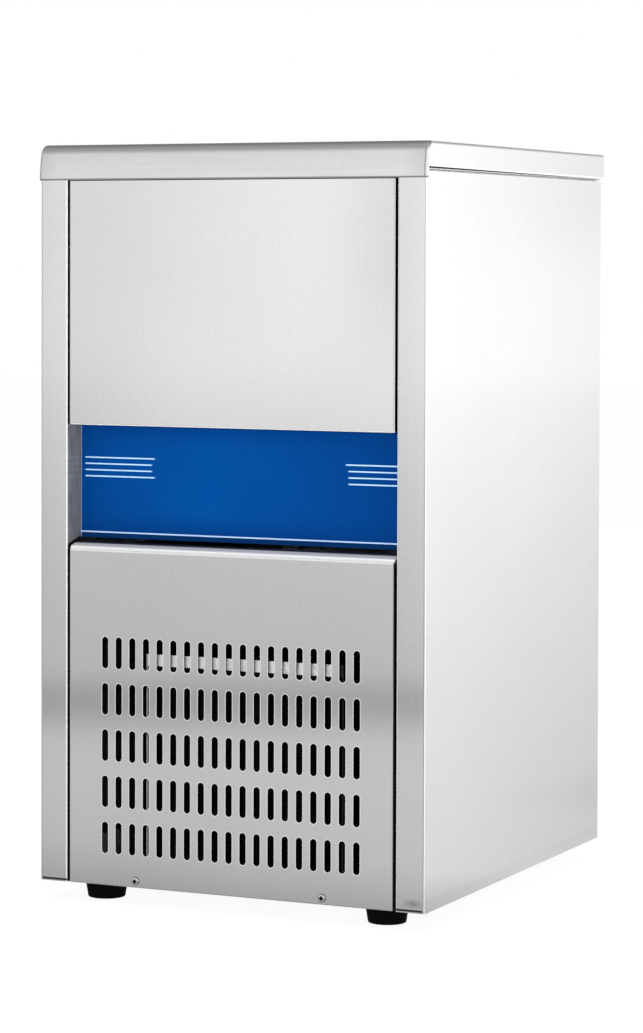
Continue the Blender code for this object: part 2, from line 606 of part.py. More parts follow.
tub = cut(join(tub, flange), hollow, mouth, pipe_ports, drain_port)
build("bin_liner", tub, "white_plastic", smooth=40)

# Foam round the liner, with a channel up its back for the pipes.
foam = box((-INSIDE + GAP, INSIDE - GAP), (LINER_FRONT, INNER_REAR - GAP),
           (PARTITION_TOP + GAP, LINER_TOP - wall - GAP))
grown = [(LINER_BIN_FRONT - GAP, LINER_FLOOR - GAP), (LINER_REAR + GAP, LINER_FLOOR - GAP),
         (LINER_REAR + GAP, LINER_TOP + 9), (LINER_FRONT - 9, LINER_TOP + 9),
         (LINER_FRONT - 9, LINER_LEDGE - GAP), (LINER_BIN_FRONT - GAP, LINER_LEDGE - GAP)]
room = prism(grown, "x", -LINER_SIDE - GAP, LINER_SIDE + GAP)
channel = box((CHASE_LEFT, CHASE_RIGHT), (LINER_REAR - 5, INNER_REAR + 5), (PARTITION_TOP - 9, CHASE_TOP))
drain_port = rod(DRAIN_RADIUS + 1, (DRAIN_X, DRAIN_Y, LINER_FLOOR), "z", -30, 9)
foam = cut(foam, room, channel, drain_port)
build("bin_insulation", foam, "foam")

# Door: stainless pan, foam core, moulded liner with a plug, and the gasket; all turn about the pins.
door_axis = (0.0, DOOR_PIVOT_Y, DOOR_PIVOT_Z)
outline = [(0.0, DOOR_BOTTOM), (DOOR_DEPTH, DOOR_BOTTOM), (DOOR_DEPTH, NOTCH_BOTTOM - 1),
           (DOOR_TOP_DEPTH, NOTCH_BOTTOM + 2), (DOOR_TOP_DEPTH, DOOR_TOP), (0.0, DOOR_TOP)]
skin = prism(fillet(outline, [1.6, 0, 0, 0, 0, 1.6], 2), "x", -DOOR_SIDE, DOOR_SIDE)
skin = bevel(skin, 1.3, 2, lambda a, b: abs(a.x - b.x) < 1 and max(a.y, b.y) < 3)
hollow = box((-DOOR_SIDE + SHEET, DOOR_SIDE - SHEET), (SHEET, DOOR_DEPTH + 9),
             (DOOR_BOTTOM + SHEET, DOOR_TOP - SHEET))
bores = together(*[rod(DOOR_PIN_RADIUS + 0.1, (x, DOOR_PIVOT_Y, DOOR_PIVOT_Z), "x", -4, 4, 16)
                   for x in (-DOOR_SIDE, DOOR_SIDE)])
build("door_skin", cut(skin, hollow, bores), "stainless", door_axis, smooth=40)
LINER_PLATE = DOOR_DEPTH - 2.0
core_side = DOOR_SIDE - SHEET - GAP
outline = [(SHEET + GAP, DOOR_BOTTOM + SHEET + GAP), (LINER_PLATE - GAP, DOOR_BOTTOM + SHEET + GAP),
           (LINER_PLATE - GAP, NOTCH_BOTTOM - 4), (DOOR_TOP_DEPTH - GAP, NOTCH_BOTTOM - 2),
           (DOOR_TOP_DEPTH - GAP, DOOR_TOP - SHEET - GAP), (SHEET + GAP, DOOR_TOP - SHEET - GAP)]
core = prism(outline, "x", -core_side, core_side)
bores = together(*[rod(DOOR_PIN_RADIUS + 1, (x, DOOR_PIVOT_Y, DOOR_PIVOT_Z), "x", -11, 11, 10)
                   for x in (-DOOR_SIDE, DOOR_SIDE)])
build("door_foam", cut(core, bores), "foam", door_axis)
plate = box((-core_side, core_side), (LINER_PLATE, DOOR_DEPTH), (DOOR_BOTTOM + SHEET + GAP, NOTCH_BOTTOM - 2))
plug = prism(rectangle((-MOUTH_SIDE + 8, MOUTH_SIDE - 8), (MOUTH_BOTTOM + 8, MOUTH_TOP - 8), 10.0, 3),
             "y", LINER_PLATE + 1, DOOR_DEPTH + 10)
plug = bevel(plug, 3.0, 1, lambda a, b: min(a.y, b.y) > DOOR_DEPTH + 9)
build("door_liner", join(plate, plug), "white_plastic", door_axis, smooth=30)
gasket = box((-core_side, core_side), (DOOR_DEPTH + GAP, GASKET_BACK), (FASCIA_TOP + 2, NOTCH_BOTTOM - 2))
window = box((-core_side + 11, core_side - 11), (DOOR_DEPTH - 5, GASKET_BACK + 5),
             (FASCIA_TOP + 12, NOTCH_BOTTOM - 12))
build("door_gasket", cut(gasket, window), "gasket", door_axis)

# Evaporator: a cast grid of drafted pockets, each with a floor that slopes down to the front.
grid = box((-GRID_SIDE, GRID_SIDE), (GRID_FRONT, GRID_FRONT + GRID_DEPTH), (GRID_BOTTOM, GRID_TOP))
pockets = []
half = (GRID_PITCH - GRID_WALL) / 2
for column in range(GRID_COLUMNS):
    x = (column - (GRID_COLUMNS - 1) / 2) * GRID_PITCH
    for row in range(GRID_ROWS):
        z = GRID_BOTTOM + GRID_WALL / 2 + (row + 0.5) * GRID_PITCH
        pocket = bmesh.new()
        rings = []
        for y, low, side in ((GRID_FRONT - 1, half, half), (GRID_FRONT, half, half),
                             (GRID_FRONT + GRID_DEPTH - GRID_WALL, half - 4, half - 1)):
            corners = rectangle((x - side, x + side), (z - low, z + half - 0.5))
            rings.append([pocket.verts.new((u, y, v)) for u, v in corners])
        pocket.faces.new(rings[0])
        pocket.faces.new(rings[-1])
        for first, second in zip(rings, rings[1:]):
            for k in range(4):
                pocket.faces.new((first[k - 1], first[k], second[k], second[k - 1]))
        bmesh.ops.recalc_face_normals(pocket, faces=pocket.faces)
        pockets.append(pocket)
build("evaporator_grid", cut(grid, together(*pockets)), "tinned_copper")

# Coil brazed to the back of the grid; its two ends turn to the rear.
route = [(LIQUID_X, COIL_END, COIL_LOW), (LIQUID_X, COIL_Y, COIL_LOW)]
turn_x = COIL_SIDE + COIL_PITCH / 2
for run in range(COIL_RUNS - 1):
    x = -turn_x if run % 2 == 0 else turn_x
    z = COIL_LOW + run * COIL_PITCH
    route += [(x, COIL_Y, z), (x, COIL_Y, z + COIL_PITCH)]
route += [(SUCTION_X, COIL_Y, COIL_TOP), (SUCTION_X, COIL_END, COIL_TOP)]
build("evaporator_coil", pipe(route, COIL_RADIUS, 10.8, 8, 2), "copper", smooth=60)

# Brackets that carry the grid, the spray tube and the curtain's pins.
liner_back = LINER_REAR - LINER_WALL - GAP
for hand, way in (("left", -1), ("right", 1)):
    path = [(BRACKET_INNER, BRACKET_FRONT), (BRACKET_INNER, liner_back), (BRACKET_INNER + 16, liner_back)]
    section = [(way * x, y) for x, y in folded(path, BRACKET_PLATE)]
    bracket = prism(section, "z", GRID_BOTTOM, LINER_TOP - 2)
    pin_hole = rod(CURTAIN_PIN + 0.1, (way * BRACKET_INNER, CURTAIN_Y, CURTAIN_Z), "x", -5, 5, 12)
    tube_hole = rod(DISTRIBUTOR_RADIUS + GAP, (way * BRACKET_INNER, DISTRIBUTOR_Y, DISTRIBUTOR_Z),
                    "x", -5, 5, 12)
    build(f"evaporator_bracket_{hand}", cut(bracket, pin_hole, tube_hole), "galvanised", smooth=50)
tube_end = BRACKET_INNER + BRACKET_PLATE + 2.5
build("water_distributor", rod(DISTRIBUTOR_RADIUS, (0, DISTRIBUTOR_Y, DISTRIBUTOR_Z), "x",
                               -tube_end, tube_end, 12), "white_plastic", smooth=40)

# Curtain: hangs before the grid and swings out when the ice slides off.
curtain_side = BRACKET_INNER - 2.5
path = [(CURTAIN_Y + 13, SUMP_TOP + 4), (CURTAIN_Y, SUMP_TOP + 4), (CURTAIN_Y, CURTAIN_Z - 2)]
curtain = prism(folded(path, 1.5, 1.5), "x", -curtain_side, curtain_side)
roll = rod(3.5, (0, CURTAIN_Y, CURTAIN_Z), "x", 0.5 - BRACKET_INNER, BRACKET_INNER - 0.5, 12)
pins = rod(CURTAIN_PIN, (0, CURTAIN_Y, CURTAIN_Z), "x", -BRACKET_INNER - 1.8, BRACKET_INNER + 1.8, 12)
build("water_curtain", join(curtain, roll, pins), "white_plastic", (0.0, CURTAIN_Y, CURTAIN_Z), smooth=50)

# Sump under the grid, its pump and the hose up to the spray tube.
sump = prism(rectangle((SUMP_LEFT, SUMP_RIGHT), (SUMP_FRONT, liner_back), 8.0), "z", SUMP_BOTTOM, SUMP_TOP)
hollow = prism(rectangle((SUMP_LEFT + 2, SUMP_RIGHT - 2), (SUMP_FRONT + 2, liner_back - 2), 6.0), "z",
               SUMP_BOTTOM + 2, SUMP_TOP + 9)
build("water_sump", cut(sump, hollow), "white_plastic", smooth=40)
pump = turned([(24, 2 + GAP), (24, 17), (15, 18), (15, 62), (10, 66)], (PUMP_X, PUMP_Y, SUMP_BOTTOM), "z", 18)
outlet = rod(DISTRIBUTOR_RADIUS, (PUMP_X, DISTRIBUTOR_Y, SUMP_BOTTOM), "z", 16, 25, 10)
build("water_pump", join(pump, outlet), "black_plastic", smooth=40)
route = [(PUMP_X, DISTRIBUTOR_Y, SUMP_BOTTOM + 25 + GAP), (PUMP_X, DISTRIBUTOR_Y, DISTRIBUTOR_Z),
         (tube_end + GAP, DISTRIBUTOR_Y, DISTRIBUTOR_Z)]
build("pump_hose", pipe(route, DISTRIBUTOR_RADIUS, 14.0), "rubber", smooth=60)

# Bin drain: flanged pipe through the floor, then the spigot in the rear panel.
flange = turned([(DRAIN_RADIUS - 0.1, 0), (15, 0), (15, 1.6), (DRAIN_RADIUS - 0.1, 1.6)],
                (DRAIN_X, DRAIN_Y, LINER_FLOOR + LINER_WALL + GAP), "z", 16)
spigot_start = INNER_REAR - 8
route = [(DRAIN_X, DRAIN_Y, LINER_FLOOR + LINER_WALL + 1.5), (DRAIN_X, DRAIN_Y, DRAIN_Z),
         (DRAIN_X, spigot_start - GAP, DRAIN_Z)]
drain = join(pipe(route, DRAIN_RADIUS, 16.0, 12, 4), flange)
bore = rod(DRAIN_RADIUS - 2.5, (DRAIN_X, DRAIN_Y, LINER_FLOOR), "z", -40, 19, 12)
build("drain_pipe", cut(drain, bore), "white_plastic", smooth=50)
reach = REAR_REACH - spigot_start
spigot = turned([(DRAIN_RADIUS, 0), (DRAIN_RADIUS, 4), (14, 4), (14, 8 - GAP), (DRAIN_RADIUS, 8 - GAP),
                 (DRAIN_RADIUS, reach - 6), (DRAIN_RADIUS + 1, reach - 6), (DRAIN_RADIUS - 1, reach)],
                (DRAIN_X, spigot_start, DRAIN_Z), "y", 16)
bore = rod(DRAIN_RADIUS - 2.5, (DRAIN_X, spigot_start, DRAIN_Z), "y", 6, reach + 5, 12)
build("drain_spigot", cut(spigot, bore), "white_plastic", smooth=40)

# Condenser: folded fins between two end plates that carry the return bends, in a fan shroud.
shroud = box((SHROUD_LEFT, SHROUD_RIGHT), (SHROUD_FRONT, SHROUD_BACK), (FLOOR_GAP, SHROUD_TOP))
hollow = box((SHROUD_LEFT + SHEET, SHROUD_RIGHT - SHEET), (SHROUD_FRONT + SHEET, SHROUD_BACK - SHEET),
             (FLOOR_GAP + SHEET, SHROUD_TOP - SHEET))
front = box((SHROUD_LEFT + SHEET, SHROUD_RIGHT - SHEET), (SHROUD_FRONT - 5, SHROUD_FRONT + 3),
            (FLOOR_GAP + SHEET, SHROUD_TOP - SHROUD_LIP))
ring = rod(FAN_OPENING, (FAN_X, SHROUD_BACK, FAN_Z), "y", -5, 5, 28)
tube_holes = together(rod(3 + GAP, (SHROUD_RIGHT, CORE_Y, HOT_IN_Z), "x", -5, 5, 10),
                      rod(2.5 + GAP, (SHROUD_RIGHT, CORE_Y, COLD_OUT_Z), "x", -5, 5, 10))
build("fan_shroud", cut(shroud, hollow, front, ring, tube_holes), "galvanised")
core_left = SHROUD_LEFT + CORE_IN + SHEET + GAP
core_right = SHROUD_RIGHT - CORE_IN - SHEET - GAP
fin_front = SHROUD_FRONT + SHEET + 2
fin_count = int((core_right - core_left) / FIN_PITCH)
pitch = (core_right - core_left) / (2 * fin_count - 1)
path = []
for k in range(2 * fin_count):
    x = core_left + k * pitch
    ends = (fin_front, CORE_BACK - 1)
    path += [(x, y) for y in (ends if k % 2 == 0 else ends[::-1])]
path[-2:] = [(core_right, path[-2][1]), (core_right, path[-1][1])]
fins = prism(folded(path, FIN_THICKNESS, 0), "z", FLOOR_GAP + 3, SHROUD_TOP - 4)
build("condenser_fins", fins, "black_paint")
for hand, way, face in (("left", -1, core_left - GAP), ("right", 1, core_right + GAP + FIN_THICKNESS)):
    span = sorted((face, face + way * SHEET))
    plate = box(span, (SHROUD_FRONT + SHEET + GAP, CORE_BACK), (FLOOR_GAP + SHEET + GAP, SHROUD_TOP - 2))
    for k in range(4):
        z = COLD_OUT_Z + (24 if way > 0 else 0) + k * 48
        top_z = min(z + 24, HOT_IN_Z)
        if top_z - z < 20:
            continue
        far = face + way * 10
        bend_route = [(face + way * 0.5, CORE_Y, z), (far, CORE_Y, z), (far, CORE_Y, top_z),
                      (face + way * 0.5, CORE_Y, top_z)]
        plate = join(plate, pipe(bend_route, 3.5, 6.0, 6, 2))
    build(f"condenser_end_{hand}", plate, "black_paint", smooth=50)

# Fan: shaft and blades turn together; the motor hangs from a strap on the shroud.
fan_axis = (FAN_X, FAN_FRONT, FAN_Z)
strap_y = SHROUD_BACK + GAP
arm = STRAP_SIDE - 10
path = [(FAN_X + STRAP_SIDE, strap_y), (FAN_X + arm, strap_y), (FAN_X + arm, MOTOR_BRACKET_Y),
        (FAN_X - arm, MOTOR_BRACKET_Y), (FAN_X - arm, strap_y), (FAN_X - STRAP_SIDE, strap_y)]
strap = prism(folded(path, 1.5, 1.5), "z", FAN_Z - 15, FAN_Z + 15)
shaft_hole = rod(9.0, (FAN_X, MOTOR_BRACKET_Y, FAN_Z), "y", -5, 5)
build("fan_motor_bracket", cut(strap, shaft_hole), "galvanised", smooth=50)
motor_front = MOTOR_BRACKET_Y + 1.5 + GAP
motor = turned([(14, 0), (31, 3), (31, 34), (24, 38), (10, 39)], (FAN_X, motor_front, FAN_Z), "y", 20)
seat = rod(SHAFT_RADIUS + 0.2, (FAN_X, motor_front, FAN_Z), "y", -5, 8, 12)
build("fan_motor", cut(motor, seat), "black_paint", smooth=40)
shaft_start = FAN_FRONT + 4
shaft = rod(SHAFT_RADIUS, (FAN_X, 0, FAN_Z), "y", shaft_start, motor_front + 7, 12)
build("fan_shaft", shaft, "screw_steel", fan_axis, smooth=50)
fan = turned([(10, 0), (15, 2), (15, FAN_DEPTH - 1)], fan_axis, "y", 20)
for blade in range(5):
    leaf = bmesh.new()
    loops = []
    for radius, chord, lean in ((13.5, 19.0, 13.0), (0.4 * FAN_RADIUS, 34.0, 16.0),
                                (0.7 * FAN_RADIUS, 46.0, 17.0), (FAN_RADIUS, 50.0, 16.0)):
        loop = []
        for share, face in ((-0.5, -1), (0.0, -1), (0.5, -1), (0.5, 1), (0.0, 1), (-0.5, 1)):
            turn = 2 * pi * blade / 5 + share * chord / radius
            camber = 1.8 * (1 - 4 * share * share)
            y = FAN_FRONT + FAN_DEPTH / 2 + share * lean + face * 0.7 + camber
            loop.append(leaf.verts.new((FAN_X + radius * cos(turn), y, FAN_Z + radius * sin(turn))))
        loops.append(loop)
    leaf.faces.new(loops[0])
    leaf.faces.new(loops[-1])
    for first, second in zip(loops, loops[1:]):
        for k in range(6):
            leaf.faces.new((first[k - 1], first[k], second[k], second[k - 1]))
    bmesh.ops.triangulate(leaf, faces=leaf.faces)
    bmesh.ops.recalc_face_normals(leaf, faces=leaf.faces)
    fan = join(fan, leaf)
bore = rod(SHAFT_RADIUS + GAP, (FAN_X, shaft_start - GAP, FAN_Z), "y", 0, FAN_DEPTH, 12)
build("fan_blade", cut(fan, bore), "aluminium", fan_axis, smooth=40)

# Compressor on its foot plate, with the cover of its terminals.
spot = (COMPRESSOR_X, COMPRESSOR_Y, FLOOR_GAP)
shoulder = COMPRESSOR_RADIUS - 18
shell = turned([(shoulder, 10), (shoulder + 12, 14), (COMPRESSOR_RADIUS, 24), (COMPRESSOR_RADIUS, 100),
                (shoulder + 13, 122), (shoulder, 138), (22, 147), (8, 149)], spot, "z", 22)
foot_plate = prism(rectangle(around(COMPRESSOR_X, COMPRESSOR_FOOT_X), around(COMPRESSOR_Y, COMPRESSOR_FOOT_Y),
                             12.0, 2), "z", FLOOR_GAP + 8, FLOOR_GAP + 11)
stubs = together(*[rod(9.0, (x, y, FLOOR_GAP), "z", 0, 9, 10)
                   for x in around(COMPRESSOR_X, COMPRESSOR_FOOT_X - 26)
                   for y in around(COMPRESSOR_Y, COMPRESSOR_FOOT_Y - 24)])
terminal_cover = bevel(box((COMPRESSOR_X - COMPRESSOR_RADIUS - 14, COMPRESSOR_X - COMPRESSOR_RADIUS + 9),
                           around(COMPRESSOR_Y, 36.0), (FLOOR_TOP + 54, FLOOR_TOP + 98)), 3.0, 1,
                       lambda a, b: max(a.x, b.x) < COMPRESSOR_X - COMPRESSOR_RADIUS - 13)
build("compressor", join(shell, foot_plate, stubs, terminal_cover), "black_paint", smooth=40)

# Refrigerant pipes: to the condenser, through the drier to the coil, hot gas, and suction.
block = box(around(VALVE_X, 20.0), around(VALVE_Y, 24.0), around(VALVE_Z, 20.0))
solenoid = turned([(9, 9), (15, 12), (15, 38), (8, 41)], (VALVE_X, VALVE_Y, VALVE_Z), "z", 14)
build("hot_gas_valve", join(block, solenoid), "brass", smooth=40)
dome_front = COMPRESSOR_Y - COMPRESSOR_RADIUS - 0.5
start_x = COMPRESSOR_X + 2
route = [(start_x, dome_front, VALVE_Z), (start_x, VALVE_Y + 45, VALVE_Z), (VALVE_X, VALVE_Y + 45, VALVE_Z),
         (VALVE_X, VALVE_Y + 12 + GAP, VALVE_Z)]
build("discharge_pipe", pipe(route, 3.0, 9.0), "copper", smooth=60)
end_face = core_right + GAP + FIN_THICKNESS + SHEET + GAP
riser_x = SHROUD_RIGHT + 24
route = [(VALVE_X - 10 - GAP, VALVE_Y, VALVE_Z), (riser_x, VALVE_Y, VALVE_Z), (riser_x, VALVE_Y, HOT_IN_Z),
         (riser_x, CORE_Y, HOT_IN_Z), (end_face, CORE_Y, HOT_IN_Z)]
build("condenser_pipe", pipe(route, 3.0, 9.0), "copper", smooth=60)
side_x = VALVE_X + 28
under = UNDER_PARTITION
route = [(VALVE_X + 10 + GAP, VALVE_Y, VALVE_Z), (side_x, VALVE_Y, VALVE_Z), (side_x, VALVE_Y, under),
         (side_x, CHASE_Y - 36, under), (HOT_GAS_X, CHASE_Y - 36, under), (HOT_GAS_X, CHASE_Y, under),
         (HOT_GAS_X, CHASE_Y, COIL_LOW), (HOT_GAS_X, COIL_Y + COIL_RADIUS + GAP, COIL_LOW)]
build("hot_gas_pipe", pipe(route, 3.0, 9.0), "copper", smooth=60)
dome_rear = COMPRESSOR_Y + COMPRESSOR_RADIUS + 0.5
suction_z = FLOOR_TOP + 92
route = [(SUCTION_X, dome_rear, suction_z), (SUCTION_X, dome_rear + 24, suction_z),
         (SUCTION_X, dome_rear + 24, under - 10), (SUCTION_X, CHASE_Y, under - 10),
         (SUCTION_X, CHASE_Y, COIL_TOP), (SUCTION_X, COIL_END + GAP, COIL_TOP)]
build("suction_pipe", pipe(route, COIL_RADIUS, 9.0), "copper", smooth=60)
route = [(end_face, CORE_Y, COLD_OUT_Z), (DRIER_X, CORE_Y, COLD_OUT_Z), (DRIER_X, DRIER_Y, COLD_OUT_Z),
         (DRIER_X, DRIER_Y, FLOOR_TOP + 52)]
drier = turned([(2.5, 42), (9.5, 50), (9.5, 120), (1.6, 128)], (DRIER_X, DRIER_Y, FLOOR_TOP), "z", 12)
over = under + 12
capillary = [(DRIER_X, DRIER_Y, FLOOR_TOP + 122), (DRIER_X, DRIER_Y, over), (DRIER_X, CHASE_Y - 23, over),
             (LIQUID_X, CHASE_Y - 23, over), (LIQUID_X, CHASE_Y, over), (LIQUID_X, CHASE_Y, COIL_LOW),
             (LIQUID_X, COIL_END + GAP, COIL_LOW)]
liquid_line = join(drier, pipe(route, 2.4, 8.0, 8, 3), pipe(capillary, 1.5, 8.0, 6, 3))
build("liquid_line", liquid_line, "copper", smooth=60)

# Water inlet: threaded solenoid valve in the rear panel and the hose up to the sump.
body = box(around(INLET_X, 36.0), (INNER_REAR - INLET_DEPTH, INNER_REAR - GAP), around(INLET_Z, 30.0))
thread = turned([(INLET_THREAD, INNER_REAR - 10), (INLET_THREAD, REAR_REACH - 2),
                 (INLET_THREAD - 1, REAR_REACH)], (INLET_X, 0, INLET_Z), "y", 20)
solenoid = turned([(12, 13), (12, 40), (6, 42)], (INLET_X, INNER_REAR - 18, INLET_Z), "z", 12)
bore = rod(INLET_THREAD - 4, (INLET_X, REAR_REACH, INLET_Z), "y", -12, 5, 12)
build("water_inlet_valve", cut(join(body, thread, solenoid), bore), "white_plastic", smooth=40)
hose_y = INNER_REAR - INLET_DEPTH - 26
route = [(INLET_X, INNER_REAR - INLET_DEPTH - GAP, INLET_Z), (INLET_X, hose_y, INLET_Z),
         (INLET_X, hose_y, under - 24), (WATER_X, hose_y, under - 24),
         (WATER_X, CHASE_Y, under - 24), (WATER_X, CHASE_Y, WATER_Z), (WATER_X, LINER_REAR - 16, WATER_Z)]
build("inlet_hose", pipe(route, COIL_RADIUS, 9.0), "white_plastic", smooth=60)

# Electrical: control box, power inlet and rocker switch; no cord is fitted.
control = box((CONTROL_LEFT, CONTROL_RIGHT), (CONTROL_FRONT, CONTROL_REAR), (FLOOR_GAP, CONTROL_TOP))
hollow = box((CONTROL_LEFT + SHEET, CONTROL_RIGHT + 4), (CONTROL_FRONT + SHEET, CONTROL_REAR - SHEET),
             (FLOOR_GAP + SHEET, CONTROL_TOP - SHEET))
build("control_box", cut(control, hollow), "galvanised")
build("control_box_cover", box((CONTROL_RIGHT + GAP, CONTROL_RIGHT + SHEET + GAP),
                               (CONTROL_FRONT, CONTROL_REAR), (FLOOR_GAP, CONTROL_TOP)), "galvanised")
inlet = box(around(POWER_X, POWER_WIDTH - 2 * GAP), (INNER_REAR - 25, OUTER_REAR + 1),
            around(POWER_Z, POWER_HEIGHT - 2 * GAP))
bezel = prism(rectangle(around(POWER_X, 48.0), around(POWER_Z, 28.0), 4.0), "y", OUTER_REAR, OUTER_REAR + 2.3)
socket = prism(rectangle(around(POWER_X, 24.0), around(POWER_Z, 16.6), 3.0, 1), "y",
               INNER_REAR - 15, OUTER_REAR + 9)
pins = together(*[box(around(POWER_X + x, 2.0), (INNER_REAR - 18, OUTER_REAR - 1), around(POWER_Z + z, 4.0))
                  for x, z in ((-7, -2), (7, -2), (0, 2))])
build("power_inlet", join(cut(join(inlet, bezel), socket), pins), "black_plastic")
base = box(around(POWER_X, SWITCH_WIDTH - 2 * GAP), (INNER_REAR - 20, OUTER_REAR + 1),
           around(SWITCH_Z, SWITCH_HEIGHT - 2 * GAP))
bezel = prism(rectangle(around(POWER_X, 26.0), around(SWITCH_Z, 36.0), 2.0), "y", OUTER_REAR, OUTER_REAR + 2)
well = box(around(POWER_X, 16.6), (SWITCH_PIVOT_Y - 12, OUTER_REAR + 9), around(SWITCH_Z, 26.4))
build("power_switch_body", cut(join(base, bezel), well), "black_plastic")
rocker = []
for back, up in ((-6.0, -7.0), (-6.0, 7.0), (5.0, 11.3), (3.4, 0.0), (5.0, -11.3)):
    tilt = radians(SWITCH_TILT)
    rocker.append((SWITCH_PIVOT_Y + back * cos(tilt) - up * sin(tilt),
                   SWITCH_Z + back * sin(tilt) + up * cos(tilt)))
build("power_switch_rocker", prism(rocker, "x", POWER_X - 8, POWER_X + 8), "black_plastic",
      (POWER_X, SWITCH_PIVOT_Y, SWITCH_Z))
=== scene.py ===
"""Scene of the under-counter ice cube machine: studio, finishes and the fine outer pieces."""

import json
from math import pi, radians

import bpy
from mathutils import Matrix, Vector


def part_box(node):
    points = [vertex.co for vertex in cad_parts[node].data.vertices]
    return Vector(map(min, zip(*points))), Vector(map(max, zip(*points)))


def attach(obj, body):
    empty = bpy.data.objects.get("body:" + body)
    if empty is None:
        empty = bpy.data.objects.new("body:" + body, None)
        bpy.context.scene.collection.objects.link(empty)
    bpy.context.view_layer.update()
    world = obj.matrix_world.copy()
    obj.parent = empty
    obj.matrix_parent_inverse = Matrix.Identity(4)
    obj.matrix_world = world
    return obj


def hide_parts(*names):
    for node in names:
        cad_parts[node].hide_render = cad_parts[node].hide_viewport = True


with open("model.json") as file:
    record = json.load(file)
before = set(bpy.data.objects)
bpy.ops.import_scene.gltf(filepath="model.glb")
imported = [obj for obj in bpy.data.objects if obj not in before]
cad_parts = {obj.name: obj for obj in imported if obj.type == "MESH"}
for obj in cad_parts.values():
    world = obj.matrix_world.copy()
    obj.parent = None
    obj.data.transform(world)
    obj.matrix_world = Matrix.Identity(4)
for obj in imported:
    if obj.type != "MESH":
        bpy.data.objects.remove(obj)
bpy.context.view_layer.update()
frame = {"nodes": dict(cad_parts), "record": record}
nodes = frame["nodes"]
body_of_node = {member: body for body, members in frame["record"]["behaviour"]["bodies"].items()
                for member in members}
slot_of_node = {part["node"]: part["material_slot"] for part in frame["record"]["subparts"]}

MM = 0.001

# Places read from the frame.
GRILLE_LOW, GRILLE_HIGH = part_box("front_grille")
COVER_LOW, COVER_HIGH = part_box("top_cover")
DOOR_LOW, DOOR_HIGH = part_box("door_skin")
SIDE_LOW, SIDE_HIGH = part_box("side_panel_right")
PLATE_LOW, PLATE_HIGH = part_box("front_fascia")
FRONT = GRILLE_LOW.y
SIDE = SIDE_HIGH.x

# Just outside the cheeks beside the recess, and the cover's right side, which is a little narrower.
CHEEK = 168.0 * MM
COVER_RIGHT = COVER_HIGH.x - 0.9 * MM

# Levels of the stainless finish and of the plain light round the machine.
STAINLESS = 0.66
AMBIENT = 0.55

# Sheet thickness and the radius of the screw heads.
SHEET = 1.0 * MM
SCREW_RADIUS = 4.0 * MM

# The grille's slots: size, number, pitches, and the places of their middle column and top row.
SLOT_WIDTH = 6.4 * MM
SLOT_LENGTH = 29.3 * MM
SLOT_COLUMNS = 19
SLOT_ROWS = 5
SLOT_PITCH_X = 14.17 * MM
SLOT_PITCH_Z = 42.9 * MM
SLOT_CENTRE_X = 1.0 * MM
SLOT_TOP_ROW = 233.0 * MM

# White print on the blue plate: the stripes from the top down and the line along the foot.
STRIPE_TOP = 411.8 * MM
STRIPE_PITCH = 5.8 * MM
STRIPES = [STRIPE_TOP - row * STRIPE_PITCH for row in range(4)]
STRIPES_START = -160.5 * MM
LEFT_ENDS = (-88.0 * MM, -91.0 * MM, -91.0 * MM, -88.0 * MM)
RIGHT_STARTS = (106.6 * MM, 109.1 * MM, 109.1 * MM, 109.1 * MM)
FOOT_LINE = PLATE_LOW.z + 5.3 * MM

# Studio: width of the floor, and the height that the lamps are turned to.
FLOOR_WIDTH = 24.0
LAMP_AIM = 0.35

# Camera: place and angles fitted to the corners of the cabinet.
CAMERA_PLACE = (1.3564, -2.9517, 0.5961)
CAMERA_YAW = 24.879
CAMERA_PITCH = 1.732
CAMERA_ROLL = 0.164
CAMERA_LENS = 117.155
CAMERA_SENSOR = 36.0
CAMERA_SHIFT = -0.15


# Small tools for shader sums and for modelling.
class Wire:
    """A shader socket that takes part in sums; a plain number becomes a value of the Math node."""

    def __init__(self, graph, socket):
        self.graph = graph
        self.socket = socket

    def sum(self, operation, *values):
        return self.graph.node("Math", {"operation": operation}, dict(enumerate(values)))

    def __add__(self, other):
        return self.sum("ADD", self, other)

    def __radd__(self, other):
        return self.sum("ADD", other, self)

    def __sub__(self, other):
        return self.sum("SUBTRACT", self, other)

    def __rsub__(self, other):
        return self.sum("SUBTRACT", other, self)

    def __mul__(self, other):
        return self.sum("MULTIPLY", self, other)

    def __rmul__(self, other):
        return self.sum("MULTIPLY", other, self)

    def __truediv__(self, other):
        return self.sum("DIVIDE", self, other)

    def __abs__(self):
        return self.sum("ABSOLUTE", self)

    def root(self):
        return self.sum("SQRT", self)

    def ramp(self, low, high):
        """0 up to low, 1 from high on; low may be the greater of the two."""
        return self.graph.node("MapRange", {"clamp": True},
                               {"Value": self, "From Min": low, "From Max": high})

    def bump(self, centre, reach):
        """1 at the centre, 0 from the reach on, with straight flanks."""
        return abs(self - centre).ramp(reach, 0.0)


